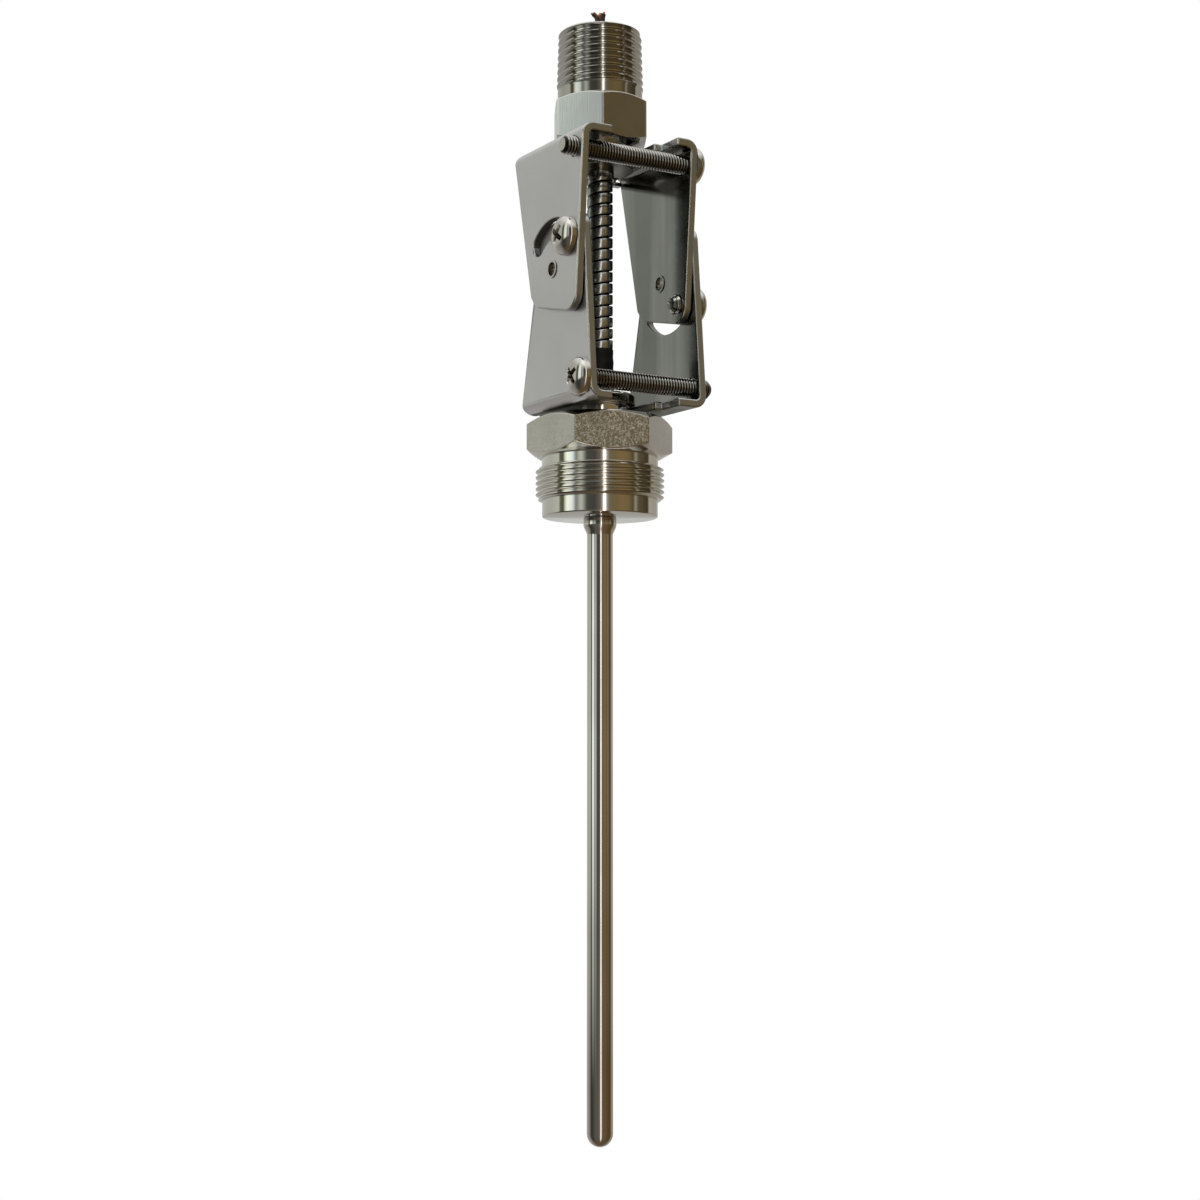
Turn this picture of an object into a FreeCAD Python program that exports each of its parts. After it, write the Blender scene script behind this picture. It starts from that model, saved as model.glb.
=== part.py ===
# Adjustable-angle resistance temperature probe, millimetres, +Z up along the stem.
# The origin is on the stem axis where the process thread reaches its full form.
# The open side of the two hinged brackets faces -Y and the hinge axis runs along X.
import math
import os

import FreeCAD
import Part

os.makedirs("parts", exist_ok=True)

V = FreeCAD.Vector
INCH = 25.4

# Stem and sensing element
stem_diameter = 0.25 * INCH
stem_length = 6.0 * INCH
stem_wall = 0.7
stem_tip_wall = 1.2
stem_socket_depth = 12.0
braze_height = 4.5
braze_straight = 1.7
braze_spread = 0.9
braze_feather = 0.1
cement_wall = 0.875
element_length = 20.0
cement_length = 26.0

# Process fitting
process_thread_diameter = 1.25 * INCH
process_thread_length = 7.2
process_thread_chamfer = 0.7
pilot_step = 1.625
pilot_length = 4.25
pilot_chamfer = 0.4
relief_step = 1.525
relief_length = 2.6
process_hex_flats = 1.25 * INCH
process_hex_height = 9.8
process_hex_turn = 9.0

# Necks that the bracket webs grip
neck_diameter = 14.3
collar_step = 1.65
collar_height = 2.7
collar_edge = 0.7

# Head nipple
nipple_hex_flats = 0.875 * INCH
nipple_hex_height = 11.5
nipple_hex_turn = -27.2
nipple_relief_step = 0.2
nipple_relief_length = 3.4
nipple_thread_diameter = 20.75
nipple_thread_length = 14.0
nipple_thread_taper = 1.0 / 16.0
nipple_end_chamfer = 0.8
nipple_wall = 3.375
hex_chamfer_angle = 30.0
hex_face_share = 0.96

# Folded brackets
sheet = 2.0
bracket_width = 32.8
bracket_reach = 33.0
bend_inside = 1.2
front_margin = 2.0
front_lean = 0.085
back_at_hinge = 4.9
back_lean = 0.236
tail_margin = 2.35
tail_back_drop = 7.6
lower_tail_cover = 0.75
lower_tail_slope = 1.0
tail_front_radius = 4.0
tail_back_radius = 5.0
web_corner_radius = 2.0
flange_height = 4.2
flange_relief = 0.8
flange_side_gap = 0.2
web_mouth_step = 2.1
web_mouth_depth = 7.4
leg_gap = 0.2

# Hinge
hinge_forward = 6.75
rivet_diameter = 4.0
rivet_wall = 0.35
rivet_rim_overhang = 0.2
rivet_rim_height = 0.15
lock_radius = 9.85
lock_angle = 48.5
tilt_range = 90.0
lock_slack = 3.0
lock_slot_room = 0.37

# Screws
screw_diameter = 4.65
screw_head_overhang = 2.425
screw_head_height = 3.2
screw_head_rim = 1.0
screw_tip_chamfer = 0.5
tie_screw_overrun = 3.25
lock_screw_overrun = 1.6
tie_setback = 4.0
tie_below_web = 5.4
recess_span = 5.0
recess_width = 1.15
recess_depth = 1.9

# Conduit, sleeve and leads
conduit_diameter = 6.4
conduit_wall = 1.1
conduit_pitch = 2.85
conduit_groove = 0.45
conduit_groove_width = 0.7
conduit_seat_depth = 3.0
sleeve_wall = 0.35
sleeve_length = 11.3
ferrule_wall = 0.25
ferrule_length = 6.6
ferrule_showing = 2.3
lead_diameter = 1.2
lead_gap = 0.18
lead_first_angle = 179.0
lead_hook_height = 1.9
lead_passage_room = 0.4
seal_depth = 8.0
seal_below_rim = 2.0
insulator_gap = 0.15

# Leads above the nipple: colour, sideways and rearward reach of the cut end, height above the rim
leads = [
    ("brown", -1.3, 0.8, 5.5),
    ("black", 0.3, -0.2, 5.8),
    ("red", 0.1, -0.1, 6.0),
]

# Fits
swivel_clearance = 0.05
axial_clearance = 0.1
hinge_clearance = 0.05
thread_clearance = 0.05
seat_gap = 0.1
joint_gap = 0.05
wire_clearance = 0.05
head_lift = 1.1

# Overrun of cutting shapes and points on a quarter curve
past = 1.0
curve_steps = 10

# Sizes that follow from the ones above
stem_radius = stem_diameter / 2
stem_bore_radius = stem_radius - stem_wall
filling_radius = stem_bore_radius - insulator_gap
element_radius = filling_radius - cement_wall - joint_gap
pilot_radius = process_thread_diameter / 2 - pilot_step
relief_radius = process_thread_diameter / 2 - relief_step
neck_radius = neck_diameter / 2
collar_radius = neck_radius + collar_step
web_seat_radius = neck_radius + swivel_clearance
nipple_small_radius = nipple_thread_diameter / 2
nipple_large_radius = nipple_small_radius + nipple_thread_length * nipple_thread_taper / 2
nipple_relief_radius = nipple_large_radius - nipple_relief_step
nipple_bore_radius = nipple_small_radius - nipple_wall
front_at_hinge = hinge_forward + lock_radius + front_margin
tail_front_drop = lock_radius + tail_margin
rivet_radius = rivet_diameter / 2
screw_radius = screw_diameter / 2
screw_head_radius = screw_radius + screw_head_overhang
lock_slot_half = (screw_diameter + lock_slot_room) / 2
lower_tail_front_drop = lock_radius + lock_slot_half + lower_tail_cover
lower_tail_back_drop = lower_tail_front_drop - lower_tail_slope
lock_screw_length = seat_gap + 2 * sheet + leg_gap + lock_screw_overrun
tie_screw_length = bracket_width + tie_screw_overrun
conduit_radius = conduit_diameter / 2
conduit_bore_radius = conduit_radius - conduit_wall
conduit_cover_radius = conduit_radius + joint_gap
ferrule_radius = conduit_cover_radius + ferrule_wall
lead_radius = lead_diameter / 2
lead_hole_radius = lead_radius + wire_clearance
lead_spread = (lead_radius + lead_gap / 2) / math.sin(math.pi / len(leads))
lead_passage_radius = lead_spread + lead_radius + lead_passage_room

# Heights along the stem axis
hex_bottom = process_thread_length + relief_length
hex_top = hex_bottom + process_hex_height
lower_web_bottom = hex_top + head_lift
hinge_height = lower_web_bottom + bracket_reach
upper_web_top = hinge_height + bracket_reach
groove_width = sheet + head_lift + axial_clearance
lower_collar_bottom = hex_top + groove_width
lower_collar_top = lower_collar_bottom + collar_height
nipple_hex_bottom = upper_web_top + head_lift
nipple_hex_top = nipple_hex_bottom + nipple_hex_height
nipple_thread_bottom = nipple_hex_top + nipple_relief_length
nipple_top = nipple_thread_bottom + nipple_thread_length
upper_collar_top = nipple_hex_bottom - groove_width
upper_collar_bottom = upper_collar_top - collar_height
pilot_top = -process_thread_chamfer
pilot_bottom = pilot_top - pilot_length
stem_tip = pilot_bottom - stem_length
stem_top = pilot_bottom + stem_socket_depth
conduit_bottom = lower_collar_top - conduit_seat_depth
ferrule_bottom = upper_collar_bottom - ferrule_showing
ferrule_top = ferrule_bottom + ferrule_length
conduit_top = ferrule_top - axial_clearance

# Places across the brackets
side_shift = (sheet + leg_gap) / 2
half_width = bracket_width / 2
bend_outside = bend_inside + sheet
tie_height = hinge_height + bracket_reach - tie_below_web
tie_forward = front_at_hinge + front_lean * (bracket_reach - tie_below_web) - tie_setback
tip_floor = stem_tip + stem_tip_wall


def revolved(points):
    """Solid of revolution about Z from (radius, height) corners."""
    corners = [V(radius, 0, height) for radius, height in points]
    wire = Part.makePolygon(corners + [corners[0]])
    return Part.Face(wire).revolve(V(0, 0, 0), V(0, 0, 1), 360)


def rod(radius, low, high, x=0.0, y=0.0):
    """Upright cylinder between two heights."""
    return Part.makeCylinder(radius, high - low, V(x, y, low))


def cross_rod(radius, x_low, x_high, y, z):
    """Cylinder along X."""
    return Part.makeCylinder(radius, x_high - x_low, V(x_low, y, z), V(1, 0, 0))


def block(low, high):
    """Box between two corners."""
    size = [b - a for a, b in zip(low, high)]
    return Part.makeBox(*size, V(*low))


def chamfered_hex(flats, low, high, turn):
    """Hexagon bar with both ends turned to a cone, one corner turned from -Y towards +X."""
    corner = flats / math.sqrt(3)
    start = math.radians(turn - 90)
    points = []
    for index in range(7):
        angle = start + index * math.pi / 3
        points.append(V(corner * math.cos(angle), corner * math.sin(angle), low))
    bar = Part.Face(Part.makePolygon(points)).extrude(V(0, 0, high - low))
    face = flats / 2 * hex_face_share
    reach = corner + past
    drop = (reach - face) * math.tan(math.radians(hex_chamfer_angle))
    envelope = revolved([
        (0, low), (face, low), (reach, low + drop),
        (reach, high - drop), (face, high), (0, high),
    ])
    return bar.common(envelope)


def rounded_outline(corners, plane_x):
    """Closed Y-Z outline at one X, from (y, z, corner radius)."""
    edges = []
    starts = []
    ends = []
    count = len(corners)
    for index, (y, z, radius) in enumerate(corners):
        here = V(plane_x, y, z)
        before = V(plane_x, *corners[index - 1][:2]) - here
        after = V(plane_x, *corners[(index + 1) % count][:2]) - here
        before.normalize()
        after.normalize()
        if radius <= 0:
            starts.append(here)
            ends.append(here)
            edges.append(None)
            continue
        half = before.getAngle(after) / 2
        back = radius / math.tan(half)
        middle = before + after
        middle.normalize()
        centre = here + middle * (radius / math.sin(half))
        first = here + before * back
        last = here + after * back
        starts.append(first)
        ends.append(last)
        edges.append(Part.Arc(first, centre - middle * radius, last).toShape())
    wire = []
    for index in range(count):
        if edges[index] is not None:
            wire.append(edges[index])
        follow = (index + 1) % count
        if ends[index].distanceToPoint(starts[follow]) > 1e-6:
            wire.append(Part.makeLine(ends[index], starts[follow]))
    return Part.Face(Part.Wire(wire))


def front_edge(height):
    """Y of a leg's front edge at a height measured from the hinge towards its web."""
    return -(front_at_hinge + front_lean * height)


def back_edge(height):
    """Y of a leg's back edge at a height measured from the hinge towards its web."""
    return back_at_hinge + back_lean * height


def turned(shape):
    """The same shape on the other bracket: half a turn about the front-to-back line at the hinge."""
    copy = shape.copy()
    copy.rotate(V(0, 0, hinge_height), V(0, 1, 0), 180)
    return copy


def lock_point(angle):
    """Y and Z of a point on the locking arc, the angle leaning forwards from straight up."""
    lean = math.radians(angle)
    y = -hinge_forward - lock_radius * math.sin(lean)
    z = hinge_height + lock_radius * math.cos(lean)
    return y, z


def arc_slot(x_low, x_high):
    """Curved slot about the hinge axis, round at both ends."""
    half = lock_slot_half
    first = lock_angle + lock_slack
    last = lock_angle - tilt_range - lock_slack
    outer = cross_rod(lock_radius + half, x_low, x_high, -hinge_forward, hinge_height)
    inner = cross_rod(lock_radius - half, x_low, x_high, -hinge_forward, hinge_height)
    reach = 2 * lock_radius
    fan = [V(x_low, -hinge_forward, hinge_height)]
    for step in range(curve_steps + 1):
        lean = math.radians(first + (last - first) * step / curve_steps)
        fan.append(V(x_low, -hinge_forward - reach * math.sin(lean), hinge_height + reach * math.cos(lean)))
    wedge = Part.Face(Part.makePolygon(fan + [fan[0]])).extrude(V(x_high - x_low, 0, 0))
    slot = outer.cut(inner).common(wedge)
    for angle in (first, last):
        slot = slot.fuse(cross_rod(half, x_low, x_high, *lock_point(angle)))
    return slot


def bracket_blank(front_drop, back_drop):
    """Channel folded from sheet and trimmed to the leg outline, centred on X = 0."""
    low = hinge_height - front_drop
    front = front_edge(bracket_reach)
    back = back_edge(bracket_reach)
    outer = block((-half_width, front - past, low - past), (half_width, back + past, upper_web_top))
    inside = half_width - sheet
    inner = block(
        (-inside, front - 2 * past, low - 2 * past),
        (inside, back + 2 * past, upper_web_top - sheet),
    )
    channel_parts = []
    for solid, radius in ((outer, bend_outside), (inner, bend_inside)):
        top = solid.BoundBox.ZMax
        edges = []
        for edge in solid.Edges:
            box = edge.BoundBox
            if abs(box.ZMin - top) < 1e-6 and box.YLength > 1 and box.XLength < 1e-6:
                edges.append(edge)
        channel_parts.append(solid.makeFillet(radius, edges))
    channel = channel_parts[0].cut(channel_parts[1])
    outline = rounded_outline([
        (front_edge(bracket_reach), upper_web_top, 0),
        (back_edge(bracket_reach), upper_web_top, web_corner_radius),
        (back_edge(-back_drop), hinge_height - back_drop, tail_back_radius),
        (front_edge(-front_drop), hinge_height - front_drop, tail_front_radius),
    ], -half_width - past)
    return channel.common(outline.extrude(V(bracket_width + 2 * past, 0, 0)))


def back_flange():
    """Short lip folded down along the back of the web, and the room it needs in the blank."""
    back = back_edge(bracket_reach)
    reach = half_width - bend_outside - flange_relief
    fold = back - bend_outside
    corner = V(-reach, fold, upper_web_top - bend_outside)
    bottom = upper_web_top - flange_height
    room = block(
        (-reach - flange_relief, fold, bottom - past),
        (reach + flange_relief, back + past, upper_web_top + past),
    )
    bend = Part.makeCylinder(bend_outside, 2 * reach, corner, V(1, 0, 0))
    bend = bend.cut(Part.makeCylinder(bend_inside, 2 * reach, corner, V(1, 0, 0)))
    bend = bend.common(block((-reach, fold, corner.z), (reach, back + past, upper_web_top + past)))
    lip_reach = half_width - sheet - flange_side_gap
    lip = block((-lip_reach, back - sheet, bottom), (lip_reach, back, corner.z))
    return bend.fuse(lip), room


def bracket_shape(front_drop, back_drop):
    """Bracket in its place as the upper one: web on top, left leg outside, tails below the hinge."""
    blank = bracket_blank(front_drop, back_drop)
    flange, room = back_flange()
    body = blank.cut(room).fuse(flange).removeSplitter()
    body.translate(V(-side_shift, 0, 0))
    seat = web_seat_radius
    web_low = upper_web_top - sheet - past
    web_high = upper_web_top + past
    front = front_edge(bracket_reach) - past
    body = body.cut(rod(seat, web_low, web_high))
    body = body.cut(block((-seat, front, web_low), (seat, 0, web_high)))
    mouth = seat + web_mouth_step
    body = body.cut(block((-mouth, front, web_low), (mouth, front + past + web_mouth_depth, web_high)))
    left = -side_shift - half_width
    right = -side_shift + half_width
    span = (left - past, right + past)
    hinge = rivet_radius + hinge_clearance
    body = body.cut(cross_rod(hinge, *span, -hinge_forward, hinge_height))
    threaded = screw_radius + thread_clearance
    body = body.cut(cross_rod(threaded, *span, -tie_forward, tie_height))
    body = body.cut(arc_slot(left - past, left + sheet + past))
    y, z = lock_point(lock_angle)
    below = 2 * hinge_height - z
    body = body.cut(cross_rod(threaded, right - sheet - past, right + past, y, below))
    return body


def pan_screw(length):
    """Pan-head cross-recess screw along +X, the head's underside at the origin and the tip at -X."""
    shank = screw_radius
    head = screw_head_radius
    crown = screw_head_height - screw_head_rim
    points = [(0, -length), (shank - screw_tip_chamfer, -length), (shank, -length + screw_tip_chamfer)]
    points += [(shank, 0), (head, 0), (head, screw_head_rim)]
    for step in range(1, curve_steps + 1):
        lean = math.pi / 2 * step / curve_steps
        points.append((head * math.cos(lean), screw_head_rim + crown * math.sin(lean)))
    screw = revolved(points)
    bottom = screw_head_height - recess_depth
    for turn in (0, 90):
        bar = block(
            (-recess_span / 2, -recess_width / 2, bottom),
            (recess_span / 2, recess_width / 2, screw_head_height + past),
        )
        bar.rotate(V(0, 0, 0), V(0, 0, 1), turn)
        screw = screw.cut(bar)
    screw.rotate(V(0, 0, 0), V(0, 1, 0), 90)
    return screw


def rivet(x_low, x_high):
    """Tubular rivet along X with a rolled rim at each end, its rims just outside two faces."""
    low = x_low - seat_gap
    high = x_high + seat_gap
    shank = rivet_radius
    bore = rivet_radius - rivet_wall
    rim = rivet_radius + rivet_rim_overhang
    lift = rivet_rim_height
    edge = (rim - bore) / 4
    points = [
        (bore, low - lift + edge), (bore + edge, low - lift), (rim - edge, low - lift), (rim, low),
        (shank, low), (shank, high),
        (rim, high), (rim - edge, high + lift), (bore + edge, high + lift), (bore, high + lift - edge),
    ]
    body = revolved(points)
    body.rotate(V(0, 0, 0), V(0, 1, 0), 90)
    body.translate(V(0, -hinge_forward, hinge_height))
    return body


def grip_neck(collar_end, collar_start, hex_face):
    """Turned neck with its round collar, from the hexagon's face outwards along Z."""
    neck = neck_radius
    collar = collar_radius
    way = 1 if collar_end > collar_start else -1
    points = [
        (0, hex_face), (neck, hex_face), (neck, collar_start), (collar, collar_start),
        (collar, collar_end - way * collar_edge), (collar - collar_edge, collar_end), (0, collar_end),
    ]
    return revolved(points)


def process_fitting():
    """Hexagon fitting with straight thread, pilot and gripped neck, bored for stem and conduit."""
    thread = process_thread_diameter / 2
    pilot = pilot_radius
    relief = relief_radius
    shank = revolved([
        (0, pilot_bottom), (pilot - pilot_chamfer, pilot_bottom), (pilot, pilot_bottom + pilot_chamfer),
        (pilot, pilot_top), (thread - process_thread_chamfer, pilot_top), (thread, 0),
        (thread, process_thread_length), (relief, process_thread_length),
        (relief, hex_bottom), (0, hex_bottom),
    ])
    hexagon = chamfered_hex(process_hex_flats, hex_bottom, hex_top, process_hex_turn)
    neck = grip_neck(lower_collar_top, lower_collar_bottom, hex_top)
    body = shank.fuse(hexagon).fuse(neck).removeSplitter()
    body = body.cut(rod(stem_radius + joint_gap, pilot_bottom - past, stem_top))
    body = body.cut(rod(lead_passage_radius, stem_top - past, lower_collar_top + past))
    return body.cut(rod(conduit_cover_radius, conduit_bottom, lower_collar_top + past))


def head_nipple():
    """Hexagon nipple with taper thread and gripped neck, bored for the leads and the ferrule."""
    small = nipple_small_radius
    large = nipple_large_radius
    relief = nipple_relief_radius
    tip = small - nipple_end_chamfer
    shank = revolved([
        (0, nipple_hex_top), (relief, nipple_hex_top), (relief, nipple_thread_bottom),
        (large, nipple_thread_bottom), (small, nipple_top - nipple_end_chamfer), (tip, nipple_top),
        (0, nipple_top),
    ])
    hexagon = chamfered_hex(nipple_hex_flats, nipple_hex_bottom, nipple_hex_top, nipple_hex_turn)
    neck = grip_neck(upper_collar_bottom, upper_collar_top, nipple_hex_bottom)
    body = shank.fuse(hexagon).fuse(neck).removeSplitter()
    body = body.cut(rod(nipple_bore_radius, nipple_hex_top, nipple_top + past))
    body = body.cut(rod(lead_passage_radius, upper_collar_bottom - past, nipple_hex_top + past))
    socket = ferrule_radius + swivel_clearance
    return body.cut(rod(socket, upper_collar_bottom - past, ferrule_top + joint_gap))


def stem_sheath():
    """Closed thin-wall tube with a round tip."""
    outer = [(stem_radius, stem_top)]
    for step in range(curve_steps + 1):
        lean = math.pi / 2 * step / curve_steps
        outer.append((stem_radius * math.cos(lean), stem_tip + stem_radius * (1 - math.sin(lean))))
    outer[-1] = (0, stem_tip)
    tube = revolved(outer + [(0, stem_top)])
    round_end = stem_bore_radius
    inner = [(stem_bore_radius, stem_top + past)]
    for step in range(curve_steps + 1):
        lean = math.pi / 2 * step / curve_steps
        inner.append((round_end * math.cos(lean), tip_floor + round_end * (1 - math.sin(lean))))
    inner[-1] = (0, tip_floor)
    return tube.cut(revolved(inner + [(0, stem_top + past)]))


def stem_braze():
    """Collar of filler, straight then waisted, where the stem leaves the pilot."""
    inner = stem_radius + joint_gap
    top = pilot_bottom - joint_gap
    points = [(inner, top - braze_height), (inner, top), (inner + braze_spread, top)]
    for step in range(curve_steps + 1):
        fall = step / curve_steps
        swell = (1 + math.cos(math.pi * fall)) / 2
        radius = inner + braze_feather + (braze_spread - braze_feather) * swell
        points.append((radius, top - braze_straight - (braze_height - braze_straight) * fall))
    return revolved(points)


def lead_places():
    """X and Y of the leads where they run side by side."""
    places = []
    for index in range(len(leads)):
        angle = math.radians(lead_first_angle + 360 * index / len(leads))
        places.append((lead_spread * math.cos(angle), lead_spread * math.sin(angle)))
    return places


def corrugated_conduit():
    """Flexible metal conduit, grooved between its turns."""
    outer = conduit_radius
    bore = conduit_bore_radius
    groove = outer - conduit_groove
    half = conduit_groove_width / 2
    points = [(bore, conduit_top), (bore, conduit_bottom), (outer, conduit_bottom)]
    height = lower_collar_top + conduit_pitch
    while height < ferrule_bottom - conduit_groove_width:
        points += [(outer, height - half), (groove, height - half / 2)]
        points += [(groove, height + half / 2), (outer, height + half)]
        height += conduit_pitch
    points.append((outer, conduit_top))
    return revolved(points)


def conduit_ferrule():
    """Plain end cap crimped on the top of the conduit and set in the nipple."""
    inner = conduit_cover_radius
    outer = ferrule_radius
    return revolved([
        (inner, ferrule_bottom), (outer, ferrule_bottom), (outer, ferrule_top), (inner, ferrule_top),
    ])


def shrink_sleeve():
    """Shrunk tube over the lower end of the conduit."""
    inner = conduit_cover_radius
    low = lower_collar_top + joint_gap
    return revolved([
        (inner, low), (inner + sleeve_wall, low),
        (inner + sleeve_wall, low + sleeve_length), (inner, low + sleeve_length),
    ])


def head_lead(place, end_x, end_y, end_height):
    """One lead from the conduit to its cut end above the nipple, straight and then bent over in one arc."""
    x, y = place
    low = conduit_top + axial_clearance
    end = nipple_top + end_height
    knee = end - lead_hook_height
    reach = math.hypot(end_x, end_y)
    bend = (reach ** 2 + lead_hook_height ** 2) / (2 * reach)
    half_turn = math.asin(lead_hook_height / bend) / 2
    out = bend * (1 - math.cos(half_turn)) / reach
    middle = V(x + end_x * out, y + end_y * out, knee + bend * math.sin(half_turn))
    arc = Part.Arc(V(x, y, knee), middle, V(x + end_x, y + end_y, end))
    spine = Part.Wire([Part.makeLine(V(x, y, low), V(x, y, knee)), arc.toShape()])
    ring = Part.Wire([Part.makeCircle(lead_radius, V(x, y, low), V(0, 0, 1))])
    return spine.makePipeShell([ring], True, False)


def lead_seal():
    """Potting plug in the nipple bore, with a hole for each lead."""
    high = nipple_top - seal_below_rim - joint_gap
    plug = rod(nipple_bore_radius - joint_gap, high - seal_depth, high)
    for x, y in lead_places():
        plug = plug.cut(rod(lead_hole_radius, high - seal_depth - past, high + past, x, y))
    return plug


def stem_insulator(low, high):
    """Ceramic rod with a bore for each lead."""
    body = rod(filling_radius, low, high)
    for x, y in lead_places():
        body = body.cut(rod(lead_hole_radius, low - past, high + past, x, y))
    return body


def tip_cement(low, high):
    """Cement cup that fills the stem tip round the element."""
    radius = filling_radius
    points = [(radius, high)]
    for step in range(curve_steps + 1):
        lean = math.pi / 2 * step / curve_steps
        points.append((radius * math.cos(lean), low + radius * (1 - math.sin(lean))))
    points[-1] = (0, low)
    cup = revolved(points + [(0, high)])
    pocket = high - element_length - joint_gap
    return cup.cut(rod(element_radius + joint_gap, pocket, high + past))


right_face = half_width - side_shift
lower_right_face = half_width + side_shift

upper_bracket = bracket_shape(tail_front_drop, tail_back_drop)
lower_bracket = turned(bracket_shape(lower_tail_front_drop, lower_tail_back_drop))
tie = pan_screw(tie_screw_length)
tie.translate(V(right_face, -tie_forward, tie_height))
lock = pan_screw(lock_screw_length)
lock_y, lock_z = lock_point(lock_angle)
lock.translate(V(lower_right_face + seat_gap, lock_y, 2 * hinge_height - lock_z))
inner_right = right_face - sheet

cement_bottom = tip_floor + joint_gap
cement_top = cement_bottom + cement_length
insulator_bottom = cement_top + joint_gap
insulator_top = stem_top - axial_clearance

parts = {
    "process_fitting": process_fitting(),
    "stem_sheath": stem_sheath(),
    "stem_braze": stem_braze(),
    "rtd_element": rod(element_radius, cement_top - element_length, cement_top),
    "tip_cement": tip_cement(cement_bottom, cement_top),
    "stem_insulator": stem_insulator(insulator_bottom, insulator_top),
    "upper_bracket": upper_bracket,
    "lower_bracket": lower_bracket,
    "right_pivot_rivet": rivet(inner_right, lower_right_face),
    "left_pivot_rivet": turned(rivet(inner_right, lower_right_face)),
    "upper_tie_screw": tie,
    "lower_tie_screw": turned(tie),
    "right_lock_screw": lock,
    "left_lock_screw": turned(lock),
    "head_nipple": head_nipple(),
    "lead_seal": lead_seal(),
    "conduit": corrugated_conduit(),
    "conduit_ferrule": conduit_ferrule(),
    "conduit_sleeve": shrink_sleeve(),
}
for place, (colour, end_x, end_y, end_height) in zip(lead_places(), leads):
    parts["head_lead_" + colour] = head_lead(place, end_x, end_y, end_height)
    parts["conduit_lead_" + colour] = rod(lead_radius, conduit_bottom, conduit_top, *place)
    stem_lead_top = conduit_bottom - axial_clearance
    parts["stem_lead_" + colour] = rod(lead_radius, insulator_bottom, stem_lead_top, *place)

for name, shape in parts.items():
    shape.exportStep("parts/" + name + ".step")
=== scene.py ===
"""Looks of an adjustable-angle resistance temperature probe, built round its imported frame."""

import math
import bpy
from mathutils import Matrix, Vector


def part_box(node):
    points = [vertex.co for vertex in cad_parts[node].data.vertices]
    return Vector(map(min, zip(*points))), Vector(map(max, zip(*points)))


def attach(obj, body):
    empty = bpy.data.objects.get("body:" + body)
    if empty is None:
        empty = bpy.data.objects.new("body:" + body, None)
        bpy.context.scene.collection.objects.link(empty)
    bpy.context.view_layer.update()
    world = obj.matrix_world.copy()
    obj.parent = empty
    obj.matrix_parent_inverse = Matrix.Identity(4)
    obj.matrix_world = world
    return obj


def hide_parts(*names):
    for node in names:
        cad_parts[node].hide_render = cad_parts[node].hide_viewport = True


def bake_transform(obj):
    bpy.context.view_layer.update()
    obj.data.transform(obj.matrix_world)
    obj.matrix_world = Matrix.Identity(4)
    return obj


bl_info = {
    "name": "Adjustable Temperature Probe",
    "version": (1, 0, 0),
    "blender": (4, 5, 0),
    "location": "View3D > Sidebar > Probe",
    "description": "Builds the threads, brackets, screws, conduit and finishes of a hinged temperature probe",
    "category": "Add Mesh",
}

import bmesh
import bpy
from mathutils import Matrix, Vector
from mathutils.bvhtree import BVHTree

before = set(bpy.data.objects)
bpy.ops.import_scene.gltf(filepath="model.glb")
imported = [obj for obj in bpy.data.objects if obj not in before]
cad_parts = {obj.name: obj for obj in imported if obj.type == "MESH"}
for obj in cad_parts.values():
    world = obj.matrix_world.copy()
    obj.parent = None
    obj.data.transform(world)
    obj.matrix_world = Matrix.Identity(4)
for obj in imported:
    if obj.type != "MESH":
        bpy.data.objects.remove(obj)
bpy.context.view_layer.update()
INCH = 0.0254
SHADES = ("brown", "red", "black")

# Steps round a turned shape, large and middling
STEPS = 144
MID_STEPS = 96

# Hexagons: face circle as a share of the flats, chamfer, rounding, and least angle of a rounded edge
HEX_FACE = 0.96
HEX_CHAMFER = math.radians(30)
HEX_ROUNDING = 0.00016
HEX_CREASE = 24

# Chamfer at the end of the collars beyond the webs
COLLAR_CHAMFER = 0.0006

# Angles in degrees past which two faces meet in a crease
THREAD_CREASE = 40.0
ROUND_CREASE = 50.0
SCREW_CREASE = 34.0
STRIP_CREASE = 60.0

# Least angle of a sheet's cut edge, gap between fitted pieces, start of a ray off a face, and
# the distance within which two points are one
SHEET_CREASE = 50
FIT_GAP = 0.00002
RAY_START = 1e-5
SAME_PLACE = 1e-7


def length(name, description, default):
    """Length property in metres."""
    return bpy.props.FloatProperty(
        name=name, description=description, default=default, min=0.0, unit="LENGTH", precision=5
    )


def height(name, description, default):
    """Height property in metres along the stem axis."""
    return bpy.props.FloatProperty(
        name=name, description=description, default=default, unit="LENGTH", precision=5
    )


def turn(name, description, degrees):
    """Angle property."""
    return bpy.props.FloatProperty(
        name=name, description=description, default=math.radians(degrees), subtype="ANGLE"
    )


def colour(name, description, default):
    """Colour property."""
    return bpy.props.FloatVectorProperty(
        name=name, description=description, default=default, size=3, min=0.0, max=1.0, subtype="COLOR"
    )


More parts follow.
